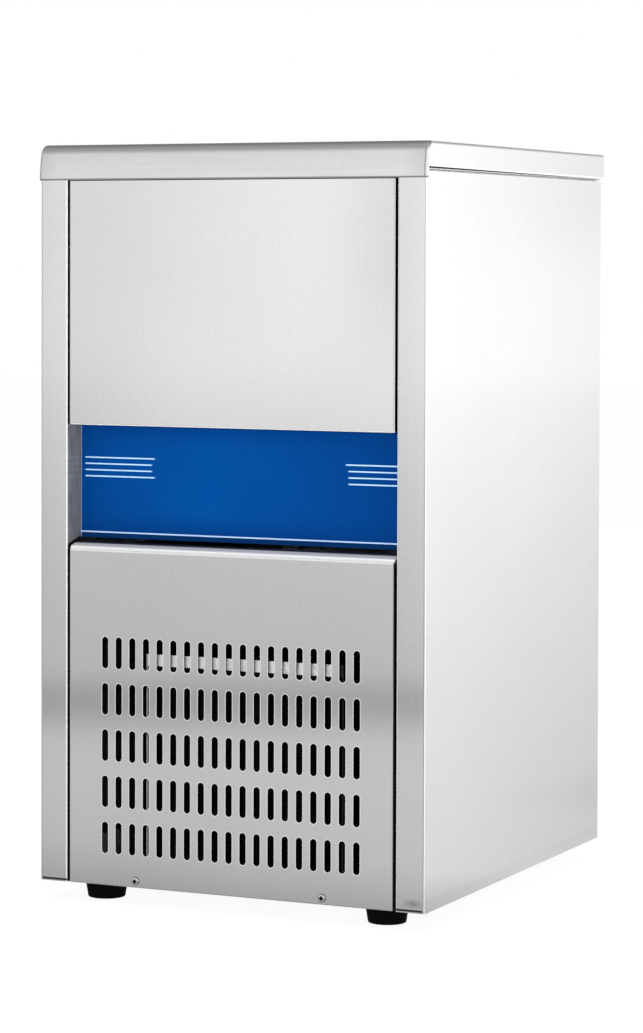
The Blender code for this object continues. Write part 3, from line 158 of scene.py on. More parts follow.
class Graph:
    """A node tree that grows by expressions; its place is a surface point or a direction."""

    def __init__(self, tree, place):
        self.tree = tree
        self.place = self.node("TexCoord", output=place)

    def node(self, kind, settings=None, inputs=None, output=0):
        """Add a node: its settings first, then the values or wires of its sockets."""
        made = self.tree.nodes.new("ShaderNode" + kind)
        for key, value in (settings or {}).items():
            if key == "stops":
                steps = made.color_ramp.elements
                for place, _ in value[2:]:
                    steps.new(place)
                for step, (place, height) in zip(steps, value):
                    step.position = place
                    step.color = (height, height, height, 1.0)
            else:
                setattr(made, key, value)
        for key, value in (inputs or {}).items():
            if isinstance(value, Wire):
                self.tree.links.new(value.socket, made.inputs[key])
            else:
                made.inputs[key].default_value = value
        return Wire(self, made.outputs[output])

    def along(self, letter):
        """One coordinate of the place: metres on a surface, -1 to 1 in a direction."""
        return self.node("SeparateXYZ", inputs={0: self.place}, output=letter)

    def ray(self, *kinds):
        """1 for rays of the named kinds."""
        first, *others = [self.node("LightPath", output="Is " + kind + " Ray") for kind in kinds]
        for other in others:
            first = first.sum("MAXIMUM", first, other)
        return first


class Finish(Graph):
    """A material built up round its Principled shader."""

    def __init__(self, name, colour, roughness, metallic=0.0, **sockets):
        self.material = bpy.data.materials.new(name)
        self.material.use_nodes = True
        super().__init__(self.material.node_tree, "Object")
        self.shader = self.tree.nodes["Principled BSDF"]
        self.shader.inputs["Base Color"].default_value = (*colour, 1.0)
        self.shader.inputs["Roughness"].default_value = roughness
        self.shader.inputs["Metallic"].default_value = metallic
        for key, value in sockets.items():
            self.shader.inputs[key.replace("_", " ")].default_value = value

    def noise(self, scale, stretch=(1.0, 1.0, 1.0), detail=2.0):
        """Soft noise; a small stretch value draws it out along that axis."""
        place = self.node("Mapping", inputs={"Vector": self.place, "Scale": stretch})
        return self.node("TexNoise", inputs={"Vector": place, "Scale": scale, "Detail": detail},
                         output="Fac")

    def grains(self, scale):
        """A random value for each cell of a Voronoi pattern."""
        cells = self.node("TexVoronoi", inputs={"Vector": self.place, "Scale": scale}, output="Color")
        return self.node("SeparateColor", inputs={0: cells})

    def blend(self, share, first, second):
        """Mix two colours by a share from 0 to 1."""
        inputs = {0: share}
        for key, value in ((6, first), (7, second)):
            inputs[key] = value if isinstance(value, Wire) else (*value, 1.0)
        return self.node("Mix", {"data_type": "RGBA"}, inputs, output=2)

    def feed(self, key, value):
        self.tree.links.new(value.socket, self.shader.inputs[key])

    def relief(self, height, depth, strength):
        self.feed("Normal", self.node("Bump", inputs={"Height": height, "Distance": depth,
                                                      "Strength": strength}))


def select_only(*things):
    bpy.ops.object.select_all(action="DESELECT")
    for thing in things:
        thing.select_set(True)
    bpy.context.view_layer.objects.active = things[0]


def edit(piece, kind="polygons", test=None):
    """Enter edit mode with the polygons, edges or vertices selected that pass the test."""
    select_only(piece)
    bpy.ops.object.mode_set(mode="EDIT")
    bpy.ops.mesh.select_mode(type={"polygons": "FACE", "edges": "EDGE", "vertices": "VERT"}[kind])
    bpy.ops.mesh.select_all(action="DESELECT")
    bpy.ops.object.mode_set(mode="OBJECT")
    for item in getattr(piece.data, kind):
        item.select = bool(test is None or test(item))
    bpy.ops.object.mode_set(mode="EDIT")


def leave_edit():
    bpy.ops.object.mode_set(mode="OBJECT")


def settle(piece):
    """Apply every modifier, then the object's place, turn and scale."""
    select_only(piece)
    for modifier in list(piece.modifiers):
        bpy.ops.object.modifier_apply(modifier=modifier.name)
    bpy.ops.object.transform_apply(location=True, rotation=True, scale=True)


def soften(piece, width, sharp):
    """Break the sharp edges by a fine bevel, then shade round faces smooth and flat ones flat."""
    if width:
        modifier = piece.modifiers.new("broken edges", "BEVEL")
        modifier.width = width
        modifier.segments = 2
        modifier.limit_method = "ANGLE"
        modifier.angle_limit = radians(50)
        modifier.use_clamp_overlap = True
        settle(piece)
    select_only(piece)
    bpy.ops.object.shade_smooth_by_angle(angle=radians(sharp))
    modifier = piece.modifiers.new("flat faces", "WEIGHTED_NORMAL")
    modifier.keep_sharp = True
    settle(piece)


def block(name, low, high):
    """A cube between two corners, its scale already in the mesh."""
    low, high = Vector(low), Vector(high)
    bpy.ops.object.select_all(action="DESELECT")
    bpy.ops.mesh.primitive_cube_add(size=1.0, location=(low + high) / 2, scale=high - low)
    piece = bpy.context.object
    piece.name = name
    settle(piece)
    return piece


def turned(name, profile, centre, axis, sides):
    """A turned piece: rings of (radius, height) along the Z or Y axis, closed at both ends."""
    turn = {"Z": 0.0, "Y": -pi / 2}[axis]
    rings = []
    for (one, low), (two, high) in zip(profile, profile[1:]):
        bpy.ops.object.select_all(action="DESELECT")
        bpy.ops.mesh.primitive_cone_add(vertices=sides, radius1=one, radius2=two, depth=high - low,
                                        end_fill_type="NOTHING", location=(0, 0, (low + high) / 2))
        settle(bpy.context.object)
        rings.append(bpy.context.object)
    for radius, height in (profile[0], profile[-1]):
        bpy.ops.object.select_all(action="DESELECT")
        bpy.ops.mesh.primitive_circle_add(vertices=sides, radius=radius, fill_type="NGON",
                                          location=(0, 0, height))
        settle(bpy.context.object)
        rings.append(bpy.context.object)
    piece = joined(rings)
    piece.name = name
    edit(piece)
    bpy.ops.mesh.remove_doubles(threshold=0.00001)
    bpy.ops.mesh.select_all(action="SELECT")
    bpy.ops.mesh.normals_make_consistent(inside=False)
    leave_edit()
    piece.data.transform(Matrix.Translation(centre) @ Matrix.Rotation(turn, 4, "X"))
    return piece


def round_edges(piece, width, segments, test):
    """Bevel the edges whose two ends pass the test."""
    points = piece.data.vertices
    edit(piece, "edges", lambda e: test(points[e.vertices[0]].co, points[e.vertices[1]].co))
    bpy.ops.mesh.bevel(offset=width, segments=segments, profile=0.5, affect="EDGES")
    leave_edit()


def carve(piece, cutter):
    """Cut one piece by another with an exact Boolean, then remove the cutter."""
    modifier = piece.modifiers.new("cut", "BOOLEAN")
    modifier.operation = "DIFFERENCE"
    modifier.solver = "EXACT"
    modifier.object = cutter
    settle(piece)
    bpy.data.objects.remove(cutter)


def copies(piece, shifts):
    """Copies of a piece at the given shifts, each with its own mesh."""
    made = []
    for shift in shifts:
        twin = piece.copy()
        twin.data = piece.data.copy()
        twin.data.transform(Matrix.Translation(shift))
        bpy.context.scene.collection.objects.link(twin)
        made.append(twin)
    return made


def joined(things):
    select_only(*things)
    bpy.ops.object.join()
    return things[0]


def dress(piece, finish, body):
    """Give a piece its finish, body and material slot."""
    piece.data.materials.clear()
    piece.data.materials.append(finish.material)
    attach(piece, body)


def stands_for(piece, node, finish=None):
    """Let a finished piece stand for a frame node, on the node's body and in its slot."""
    slot = slot_of_node[node]
    dress(piece, finish or finish_of_slot[slot], body_of_node[node])
    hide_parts(node)


def refined(node, width, sharp, finish=None):
    """A merged copy of a frame node with fine edges and smooth round faces, which stands for it."""
    piece = nodes[node].copy()
    piece.data = nodes[node].data.copy()
    piece.name = node + "_fine"
    bpy.context.scene.collection.objects.link(piece)
    edit(piece)
    bpy.ops.mesh.customdata_custom_splitnormals_clear()
    bpy.ops.mesh.remove_doubles(threshold=0.000003)
    bpy.ops.mesh.dissolve_limited(angle_limit=radians(0.3))
    leave_edit()
    soften(piece, width, sharp)
    stands_for(piece, node, finish)
    return piece


# Finishes, one for each material slot of the frame.
def stainless_sheet(name="stainless_sheet", touches=None):
    """Satin stainless sheet with a fine upright grain, soft clouds and painted shade that darkens it towards
    the rear.

    Touches are places that differ, most of them by painted light and shade: each has a mask, a tone, a
    roughness and a share of metal.
    """
    finish = Finish(name, (STAINLESS, STAINLESS, STAINLESS), 0.095, 1.0)
    grain = finish.noise(520.0, (1.0, 1.0, 0.3), 2.0)
    streaks = finish.noise(300.0, (1.0, 1.0, 0.03), 2.0)
    clouds = finish.noise(7.0, detail=3.0)
    texture = 1.0 + (grain - 0.5) * 0.09 + (streaks - 0.5) * 0.02 + (clouds - 0.5) * 0.07
    # Painted shade: the sheet darkens towards the rear.
    bright = texture * STAINLESS * (1.0 - (finish.along("Y") - FRONT) * 0.36)
    metal = 1.0
    rough = 0.095 + (streaks - 0.5) * 0.015 + (clouds - 0.5) * 0.03
    for mask, tone, roughness, share in (touches(finish, bright) if touches else ()):
        bright = bright + mask * (tone - bright)
        rough = rough + mask * (roughness - rough)
        metal = metal + mask * (share - metal)
    finish.feed("Base Color", finish.blend(bright, (0.0, 0.0, 0.0), (1.0, 1.0, 1.0)))
    finish.feed("Roughness", rough)
    if touches:
        finish.feed("Metallic", metal)
    finish.relief(finish.noise(4.5, detail=1.0) + grain * 0.004, 0.0005, 0.4)
    return finish


def side_touches(finish, bright):
    """Painted light on the side panel: the cheek a dull grey with painted shade and painted reflections of
    the stripes, painted shadow on it outside the recess, painted shade inside and on the flange, painted
    highlights on the inner fold and outer corner with painted shade beside the corner, a painted shadow near
    the foot of the post, and a darker patch low on the right post.
    """
    across = abs(finish.along("X"))
    back = finish.along("Y")
    height = finish.along("Z")
    front = back.ramp(FRONT + 1.0 * MM, FRONT + 0.6 * MM)
    behind = (back.ramp(FRONT + 0.9 * MM, FRONT + 1.3 * MM)
              * back.ramp(SIDE_HIGH.y - 1.0 * MM, SIDE_HIGH.y - 1.6 * MM))
    # Painted shade: the inner face of the side nearly black.
    inside = across.ramp(SIDE - 0.4 * MM, SIDE - 0.6 * MM) * behind
    cheek = across.ramp(CHEEK, CHEEK - 0.3 * MM) * behind
    # Painted shade and painted reflections: the cheek is a dull grey, lighter where it would mirror the
    # stripes.
    cheek_shade_and_reflections = 0.21 + (finish.noise(170.0, (1.0, 1.0, 0.35), 3.0) - 0.5) * 0.22
    for level in STRIPES:
        cheek_shade_and_reflections = cheek_shade_and_reflections + height.bump(level, 1.8 * MM) * 0.05
    # Painted shadow: the cheek is black except between the grille's edge and the foot of the door.
    edge = GRILLE_HIGH.z - 2.6 * MM + (back - FRONT) * 0.25
    recess = (height - edge).ramp(-0.2 * MM, 0.7 * MM) * height.ramp(DOOR_LOW.z + 0.5 * MM, DOOR_LOW.z)
    beside = cheek * (1.0 - recess)
    # Painted shade: the flange beyond the cheek nearly black.
    flange_shade = across.ramp(CHEEK - 1.8 * MM, CHEEK - 2.1 * MM) * behind
    # Painted highlight along the inner fold of the post.
    fold_highlight = (across.ramp(CHEEK + 0.3 * MM, CHEEK - 0.7 * MM)
            * back.ramp(FRONT + 1.2 * MM, FRONT + 0.8 * MM))
    # Painted shadow: a black line near the lower edge of the post.
    width = across.ramp(CHEEK - 2.0 * MM, CHEEK - 0.5 * MM) * across.ramp(SIDE - 0.8 * MM, SIDE - 2.2 * MM)
    foot = (width * height.ramp(SIDE_LOW.z + 0.9 * MM, SIDE_LOW.z + 1.2 * MM)
            * height.ramp(SIDE_LOW.z + 3.3 * MM, SIDE_LOW.z + 2.9 * MM))
    # A darker patch low on the right post.
    low_dark_patch = (finish.along("X").bump(SIDE - 11.0 * MM, 12.0 * MM)
              * height.bump(SIDE_LOW.z + 8.5 * MM, 5.0 * MM))
    # Painted highlight on the outer front corner, with painted shade just inside it.
    corner = across.ramp(SIDE - 1.1 * MM, SIDE - 0.7 * MM) * front
    shade = across.bump(SIDE - 1.9 * MM, 0.8 * MM) * front
    return ((inside, 0.02, 0.6, 0.0), (cheek, cheek_shade_and_reflections, 0.35, 0.0), (beside, 0.002, 0.6, 0.0),
            (flange_shade, 0.002, 0.7, 0.0), (fold_highlight * 0.85, 0.92, 0.35, 0.2), (foot, 0.004, 0.6, 0.0),
            (low_dark_patch * 0.9, bright * 0.45, 0.2, 1.0), (shade * 0.5, bright * 0.7, 0.2, 1.0),
            (corner * 0.8, 1.0, 0.3, 0.0))


def grille_touches(finish, bright):
    """Painted light on the grille: the leaning edge a matt grey, a painted reflection, with painted shadow
    on its rear part; painted highlights on the bend and slot rims; painted shade along the lower edge; and
    painted shade, nearly black, on the back behind the slots.
    """
    across = finish.along("X") - SLOT_CENTRE_X
    back = finish.along("Y")
    height = finish.along("Z")
    top = GRILLE_HIGH.z
    # Painted shade: the back of the sheet behind the slots nearly black.
    behind = (back.ramp(FRONT + 0.28 * MM, FRONT + 0.36 * MM)
              * height.ramp(top - 6.0 * MM, top - 7.0 * MM))
    # Painted reflection: the leaning edge is a matt grey; painted shadow makes its rear part black.
    ledge = height.ramp(top - 5.0 * MM, top - 4.0 * MM)
    edge = back.ramp(FRONT + 2.4 * MM, FRONT + 3.6 * MM) * ledge
    seat = back.ramp(FRONT + 9.0 * MM, FRONT + 10.0 * MM) * ledge
    # Painted highlight along the bend.
    bend = height.bump(top - 4.4 * MM, 3.7 * MM) * back.ramp(FRONT + 3.6 * MM, FRONT + 2.6 * MM)
    aside = across.sum("WRAP", across, SLOT_PITCH_X / 2, -SLOT_PITCH_X / 2)
    above = height - SLOT_TOP_ROW
    above = abs(above.sum("WRAP", above, SLOT_PITCH_Z / 2, -SLOT_PITCH_Z / 2))
    above = above - (SLOT_LENGTH - SLOT_WIDTH) / 2
    above = above.sum("MAXIMUM", above, 0.0)
    away = (aside * aside + above * above).root() - SLOT_WIDTH / 2
    half_wide = SLOT_COLUMNS / 2 * SLOT_PITCH_X
    half_high = SLOT_ROWS / 2 * SLOT_PITCH_Z
    middle = SLOT_TOP_ROW - (SLOT_ROWS - 1) / 2 * SLOT_PITCH_Z
    field = (abs(across).ramp(half_wide + 1.0 * MM, half_wide)
             * abs(height - middle).ramp(half_high, half_high - 1.0 * MM))
    # Painted highlight round the slot rims.
    rim = away.ramp(0.85 * MM, 0.5 * MM) * field
    # Painted shade along the lower edge.
    base = height.ramp(GRILLE_LOW.z + 1.3 * MM, GRILLE_LOW.z + 0.7 * MM)
    return ((1.0 - behind, bright * 0.985, 0.095, 1.0), (edge, 0.6, 0.5, 0.1), (seat, 0.003, 0.6, 0.0),
            (bend * 0.9, 1.0, 0.3, 0.2), (rim * 0.45, 0.88, 0.3, 0.1), (base * 0.8, 0.25, 0.4, 0.5),
            (behind, 0.002, 0.6, 0.0))


def door_touches(finish, bright):
    """Painted light on the door: a painted highlight along the lower hem, painted sheen brightest right of
    the skin's middle and at its lower left, painted shade towards its sides, and painted shade along its
    right edge.
    """
    low = DOOR_LOW
    across = finish.along("X")
    height = finish.along("Z")
    back = finish.along("Y")
    # Painted highlight along the hem.
    hem_highlight = height.ramp(low.z + 1.4 * MM, low.z + 0.8 * MM) * back.ramp(low.y + 2.0 * MM, low.y + 1.2 * MM)
    # Painted shade along the right edge.
    edge = (across.ramp(DOOR_HIGH.x - 1.6 * MM, DOOR_HIGH.x - 1.1 * MM)
            * back.ramp(low.y + 0.5 * MM, low.y + 0.2 * MM))
    # Painted sheen: brighter right of the middle and at the lower left, with painted shade towards both
    # sides.
    lower = height.ramp(0.58, 0.47) * across.ramp(-0.17, -0.02)
    return ((across.bump(0.065, 0.17), bright * 1.11, 0.095, 1.0),
            (across.ramp(0.11, 0.16), bright * 0.96, 0.095, 1.0),
            (across.ramp(-0.10, -0.16), bright * 0.97, 0.095, 1.0), (lower, bright * 1.11, 0.095, 1.0),
            (edge * 0.6, 0.35, 0.3, 0.8), (hem_highlight * 0.85, 0.95, 0.3, 0.1))


def cover_touches(finish, bright):
    """Lip brushed along its length, with painted shade at its bend, lower edge and ends, and a painted
    highlight along the lower edge of the skirt.
    """
    low, high = COVER_LOW, COVER_HIGH
    across = finish.along("X")
    back = finish.along("Y")
    height = finish.along("Z")
    lip = back.ramp(low.y + 4.0 * MM, low.y + 3.4 * MM)
    # Painted shade along the lip's lower edge.
    under = lip * height.ramp(low.z + 1.7 * MM, low.z + 1.2 * MM)
    brushed = 0.985 + (finish.noise(260.0, (0.03, 1.0, 1.0), 3.0) - 0.5) * 0.16
    # Painted shade at the bend.
    bend = (height.ramp(high.z - 8.0 * MM, high.z - 4.0 * MM)
            * back.ramp(low.y + 14.0 * MM, low.y + 10.0 * MM))
    # Painted shade: dark lines at both ends of the lip.
    left = lip * across.ramp(low.x + 1.9 * MM, low.x + 0.7 * MM)
    right = back.ramp(low.y + 5.5 * MM, low.y + 4.5 * MM) * across.bump(COVER_RIGHT - 2.1 * MM, 1.0 * MM)
    # Painted highlight along the lower edge of the skirt.
    skirt = (1.0 - lip) * height.ramp(low.z + 10.8 * MM, low.z + 10.3 * MM)
    # Painted shade also darkens the lip towards both ends.
    return ((lip, bright * brushed, 0.13, 1.0), (bend, bright * 0.86, 0.12, 1.0),
            (lip * across.ramp(-0.176, -0.193), bright * 0.86, 0.13, 1.0),
            (lip * across.ramp(0.172, 0.190), bright * 0.88, 0.13, 1.0), (left * 0.8, 0.14, 0.4, 0.4),
            (right * 0.8, 0.12, 0.4, 0.4), (under * 0.9, 0.14, 0.4, 0.3), (skirt * 0.7, 0.95, 0.3, 0.3))


def interior_shade(finish):
    """Share of painted shade, nearly black, all round the works under the bin, none on the outside."""
    height = finish.along("Z")
    return 0.995 * (abs(finish.along("X")).ramp(SIDE - 3.0 * MM, SIDE - 5.0 * MM)
                    * abs(finish.along("Y")).ramp(0.205, 0.202)
                    * height.ramp(SIDE_LOW.z + 3.0 * MM, SIDE_LOW.z + 5.0 * MM)
                    * height.ramp(GRILLE_HIGH.z - 0.3 * MM, GRILLE_HIGH.z - 4.3 * MM))


def galvanised_sheet():
    finish = Finish("galvanised_sheet", (0.5, 0.515, 0.525), 0.42, 1.0)
    spangle = finish.grains(150.0)
    sheet = finish.blend(spangle * 0.5 + finish.noise(40.0) * 0.5, (0.44, 0.45, 0.46), (0.56, 0.57, 0.58))
    # Painted shade darkens the sheet among the works under the bin.
    finish.feed("Base Color", finish.blend(interior_shade(finish), sheet, (0.003, 0.003, 0.003)))
    finish.feed("Roughness", 0.36 + spangle * 0.14)
    finish.relief(spangle, 0.0001, 0.15)
    return finish


def shroud_sheet():
    """Shroud of the fan: the front lip painted white as though fully lit, a painted highlight on the front
    edge of its left side and painted shade on the right one, and painted shade, nearly black, everywhere
    else.
    """
    finish = Finish("shroud_sheet", (0.9, 0.9, 0.9), 0.5, Specular_IOR_Level=0.1)
    low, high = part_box("fan_shroud")
    x = finish.along("X")
    front = finish.along("Y").ramp(low.y + 1.2 * MM, low.y + 0.8 * MM)
    # Painted highlight: the front lip white.
    lip = front * finish.along("Z").ramp(high.z - 60.0 * MM, high.z - 59.0 * MM)
    within = x.ramp(low.x + 1.4 * MM, low.x + 1.8 * MM) * x.ramp(high.x - 5.0 * MM, high.x - 5.5 * MM)
    # Painted highlight on the front edge of the left side, painted shade on the right one, and painted
    # shade, nearly black, away from the front.
    pale = finish.blend(x.ramp(-0.05, 0.05), (0.5, 0.5, 0.5), (0.03, 0.03, 0.03))
    edge = finish.blend(front, (0.001, 0.001, 0.001), pale)
    marks = finish.noise(260.0, detail=3.0).ramp(0.36, 0.44)
    finish.feed("Base Color", finish.blend(lip * within * (0.75 + marks * 0.25), edge, (0.97, 0.97, 0.97)))
    finish.feed("Roughness", 0.45 + finish.noise(300.0) * 0.1)
    return finish


def cover_foam():
    """Foam of the cover; its edge is painted dark above, a painted shade, and pale below, where the joint
    under the skirt shows it.
    """
    finish = Finish("cover_foam", (0.8, 0.72, 0.5), 0.85)
    low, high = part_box("cover_insulation")
    foam = finish.blend(finish.grains(420.0), (0.72, 0.60, 0.33), (0.86, 0.77, 0.50))
    side = abs(finish.along("X")).ramp(high.x - 1.5 * MM, high.x - 0.5 * MM)
    side = side.sum("MAXIMUM", side, finish.along("Y").ramp(high.y - 2.9 * MM, high.y - 0.9 * MM))
    # Painted shade: the edge black above the pale strip.
    strip = finish.blend(finish.along("Z").ramp(low.z + 0.9 * MM, low.z + 1.3 * MM),
                         (0.98, 0.98, 0.98), (0.01, 0.01, 0.01))
    finish.feed("Base Color", finish.blend(side, foam, strip))
    finish.feed("Roughness", 0.8 + finish.noise(300.0) * 0.1)
    return finish


def printed_blue_plate():
    """Blue plate with a white line along its foot and four stripes at either side; painted shade darkens it
    towards its edges, and a painted highlight runs along its left edge.
    """
    finish = Finish("printed_blue_plate", (0.0005, 0.075, 0.34), 0.34, Specular_IOR_Level=0.02)
    x = finish.along("X")
    z = finish.along("Z")
    begun = x.ramp(STRIPES_START - 0.8 * MM, STRIPES_START + 0.8 * MM)
    stripes = 0.0
    for level, end, start in zip(STRIPES, LEFT_ENDS, RIGHT_STARTS):
        band = abs(z - level).ramp(0.75 * MM, 0.45 * MM)
        left = begun * x.ramp(end + 1.2 * MM, end - 1.2 * MM)
        right = x.ramp(start - 1.2 * MM, start + 1.2 * MM)
        stripes = stripes + band * (left + right)
    line = abs(z - FOOT_LINE).ramp(0.8 * MM, 0.45 * MM)
    # Painted highlight on the left edge of the plate.
    edge_highlight = x.ramp(PLATE_LOW.x + 1.3 * MM, PLATE_LOW.x + 0.9 * MM)
    under = z.ramp(FOOT_LINE - 0.2 * MM, FOOT_LINE - 0.6 * MM)
    # Painted shade: the field is darker towards its edges, top and foot than in its middle.
    middle = (x.bump(-0.03, 0.21) * z.ramp(PLATE_HIGH.z - 6.0 * MM, PLATE_HIGH.z - 30.0 * MM)
              * z.ramp(PLATE_LOW.z + 2.9 * MM, PLATE_LOW.z + 24.9 * MM) * (0.7 + finish.noise(14.0) * 0.6))
    field = finish.blend(middle, (0.0008, 0.040, 0.20), (0.0003, 0.066, 0.295))
    field = finish.blend(under * 0.75, field, (0.002, 0.022, 0.085))
    field = finish.blend(edge_highlight * 0.55, field, (0.30, 0.42, 0.66))
    field = finish.blend(stripes * 0.96, field, (0.50, 0.74, 1.0))
    finish.feed("Base Color", finish.blend(line * 0.95, field, (0.52, 0.70, 1.0)))
    finish.feed("Roughness", 0.30 + finish.noise(60.0) * 0.08)
    finish.relief(finish.noise(900.0), 0.00003, 0.2)
    return finish


def moulded(name, colour, roughness, scale, depth, spread=0.06, **sockets):
    """Moulded plastic or rubber with a fine skin and slight changes of shade."""
    finish = Finish(name, colour, roughness, **sockets)
    skin = finish.noise(scale, detail=3.0)
    shade = finish.noise(22.0)
    dark = tuple(channel * (1.0 - spread) for channel in colour)
    light = tuple(channel * (1.0 + spread) for channel in colour)
    finish.feed("Base Color", finish.blend(shade * 0.7 + skin * 0.3, dark, light))
    finish.feed("Roughness", roughness + (skin - 0.5) * 0.16)
    finish.relief(skin, depth, 0.5)
    return finish


def rigid_foam():
    finish = Finish("rigid_foam", (0.8, 0.7, 0.42), 0.9)
    cells = finish.grains(420.0)
    finish.feed("Base Color", finish.blend(cells * 0.5 + finish.noise(30.0) * 0.5,
                                           (0.72, 0.60, 0.33), (0.86, 0.77, 0.50)))
    finish.feed("Roughness", 0.82 + cells * 0.15)
    finish.relief(cells, 0.0006, 0.5)
    return finish


def drawn_metal(name, colour, tarnish, roughness):
    """Bright metal with patches of tarnish and fine handling marks, and painted shade among the works under
    the bin.
    """
    finish = Finish(name, colour, roughness, 1.0)
    patches = finish.noise(35.0, detail=4.0).ramp(0.45, 0.75)
    marks = finish.noise(1400.0, (0.2, 1.0, 1.0), 2.0)
    surface = finish.blend(patches * 0.7, colour, tarnish)
    finish.feed("Base Color", finish.blend(interior_shade(finish), surface, (0.003, 0.003, 0.003)))
    finish.feed("Roughness", roughness + patches * 0.15 + (marks - 0.5) * 0.10)
    finish.relief(marks, 0.00003, 0.3)
    return finish


finish_of_slot = {
    "stainless": stainless_sheet(),
    "galvanised": galvanised_sheet(),
    "blue_plate": printed_blue_plate(),
    "rubber": moulded("black_rubber", (0.0025, 0.0025, 0.0025), 0.75, 1500.0, 0.0001, 0.2,
                      Specular_IOR_Level=0.05),
    "gasket": moulded("grey_seal", (0.35, 0.35, 0.36), 0.55, 1100.0, 0.00005),
    "white_plastic": moulded("white_moulding", (0.8, 0.81, 0.8), 0.33, 1700.0, 0.00003, 0.02),
    "black_plastic": moulded("black_moulding", (0.02, 0.02, 0.022), 0.48, 1900.0, 0.00008, 0.2),
    "foam": rigid_foam(),
    "copper": drawn_metal("drawn_copper", (0.76, 0.38, 0.22), (0.42, 0.19, 0.11), 0.27),
    "tinned_copper": drawn_metal("tinned_copper", (0.7, 0.69, 0.66), (0.55, 0.53, 0.49), 0.26),
    "aluminium": drawn_metal("pressed_aluminium", (0.7, 0.71, 0.72), (0.58, 0.59, 0.6), 0.36),
    "black_paint": moulded("black_lacquer", (0.0022, 0.0022, 0.0023), 0.42, 700.0, 0.0001, 0.25,
                           Specular_IOR_Level=0.06),
    "screw_steel": drawn_metal("bright_steel", (0.62, 0.62, 0.62), (0.48, 0.47, 0.46), 0.24),
    "brass": drawn_metal("cast_brass", (0.7, 0.53, 0.25), (0.45, 0.33, 0.16), 0.34),
}
cover_sheet = stainless_sheet("cover_sheet", cover_touches)
door_sheet = stainless_sheet("door_sheet", door_touches)
grille_sheet = stainless_sheet("grille_sheet", grille_touches)
side_sheet = stainless_sheet("side_sheet", side_touches)


# Outer pieces.
def grille_panel():
    """Formed panel: a leaning top edge, returned sides and rows of round-ended slots."""
    low, high = GRILLE_LOW, GRILLE_HIGH
    front = low.y
    lean, bend, corner = 3.7 * MM, 4.5 * MM, 1.8 * MM
    panel = block("grille_panel", low, high)
    edit(panel, "vertices", lambda v: v.co.z > high.z - MM and v.co.y < front + MM)
    bpy.ops.transform.translate(value=(0.0, 0.0, -lean))
    leave_edit()
    round_edges(panel, bend, 6, lambda a, b: min(a.z, b.z) > high.z - 5 * MM
                and max(a.y, b.y) < front + MM)
    round_edges(panel, corner, 4, lambda a, b: abs(a.x - b.x) < MM and max(a.z, b.z) > low.z + MM
                and min(a.y, b.y) < high.y - MM)
    edit(panel, "polygons", lambda f: f.normal.y > 0.9 or f.normal.z < -0.9)
    bpy.ops.mesh.delete(type="FACE")
    leave_edit()
    wall = panel.modifiers.new("wall", "SOLIDIFY")
    wall.thickness = SHEET
    wall.offset = -1.0
    wall.use_even_offset = True
    settle(panel)
    slot = block("slot_cutter", (-SLOT_WIDTH / 2, front - 5 * MM, -SLOT_LENGTH / 2),
                 (SLOT_WIDTH / 2, front + 5 * MM, SLOT_LENGTH / 2))
    round_edges(slot, SLOT_WIDTH * 0.499, 6, lambda a, b: abs(a.y - b.y) > MM)
    shifts = [((column - (SLOT_COLUMNS - 1) / 2) * SLOT_PITCH_X + SLOT_CENTRE_X, 0.0,
               SLOT_TOP_ROW - row * SLOT_PITCH_Z)
              for column in range(SLOT_COLUMNS) for row in range(SLOT_ROWS)]
    cutters = joined(copies(slot, shifts))
    bpy.data.objects.remove(slot)
    carve(panel, cutters)
    soften(panel, 0.3 * MM, 35.0)
    stands_for(panel, "front_grille", grille_sheet)


def rolled_cover():
    """Top cover: a leaning, rounded front lip, rounded side edges, and skirts at the sides and rear."""
    low, high, right = COVER_LOW, COVER_HIGH, COVER_RIGHT
    skirt = low.z + 8.5 * MM
    lean, bend, corner = 3.8 * MM, 9.4 * MM, 3.4 * MM

    def pan(name, inset):
        """The cover's outer form, or its hollow when inset by the sheet."""
        piece = block(name, (low.x + inset, low.y + inset, low.z - 5.0 * inset),
                      (right - inset, high.y - inset, high.z - inset))
        front = low.y + inset
        edit(piece)
        bpy.ops.mesh.bisect(plane_co=(0.0, 0.0, low.z + 7.0 * MM), plane_no=(0.0, 0.0, 1.0))
        leave_edit()
        edit(piece, "vertices", lambda v: v.co.y < front + MM and v.co.z > high.z - 2.0 * MM)
        bpy.ops.transform.translate(value=(0.0, lean, 0.0))
        leave_edit()
        roof = high.z - inset - 0.1 * MM
        round_edges(piece, bend - inset, 8, lambda a, b: min(a.z, b.z) > roof
                    and max(a.y, b.y) < front + 5 * MM)
        side = right - inset - 0.1 * MM
        round_edges(piece, corner - inset, 6, lambda a, b: min(abs(a.x), abs(b.x)) > side
                    and a.x * b.x > 0.0 and min(a.y, b.y) < high.y - 2.0 * MM
                    and (min(a.z, b.z) > roof - 12.0 * MM or max(a.y, b.y) < front + 3.0 * MM))
        return piece

    cover = pan("rolled_cover", 0.0)
    cutter = block("skirt_cutter", (low.x - MM, low.y + 5.0 * MM, low.z - 9.0 * MM),
                   (high.x + MM, high.y + MM, skirt))
    edit(cutter, "vertices", lambda v: v.co.y < 0.0 and v.co.z > skirt - MM)
    bpy.ops.transform.translate(value=(0.0, 0.0, 1.5 * MM))
    leave_edit()
    carve(cover, cutter)
    carve(cover, pan("hollow_cutter", SHEET))
    soften(cover, 0.12 * MM, 35.0)
    stands_for(cover, "top_cover", cover_sheet)


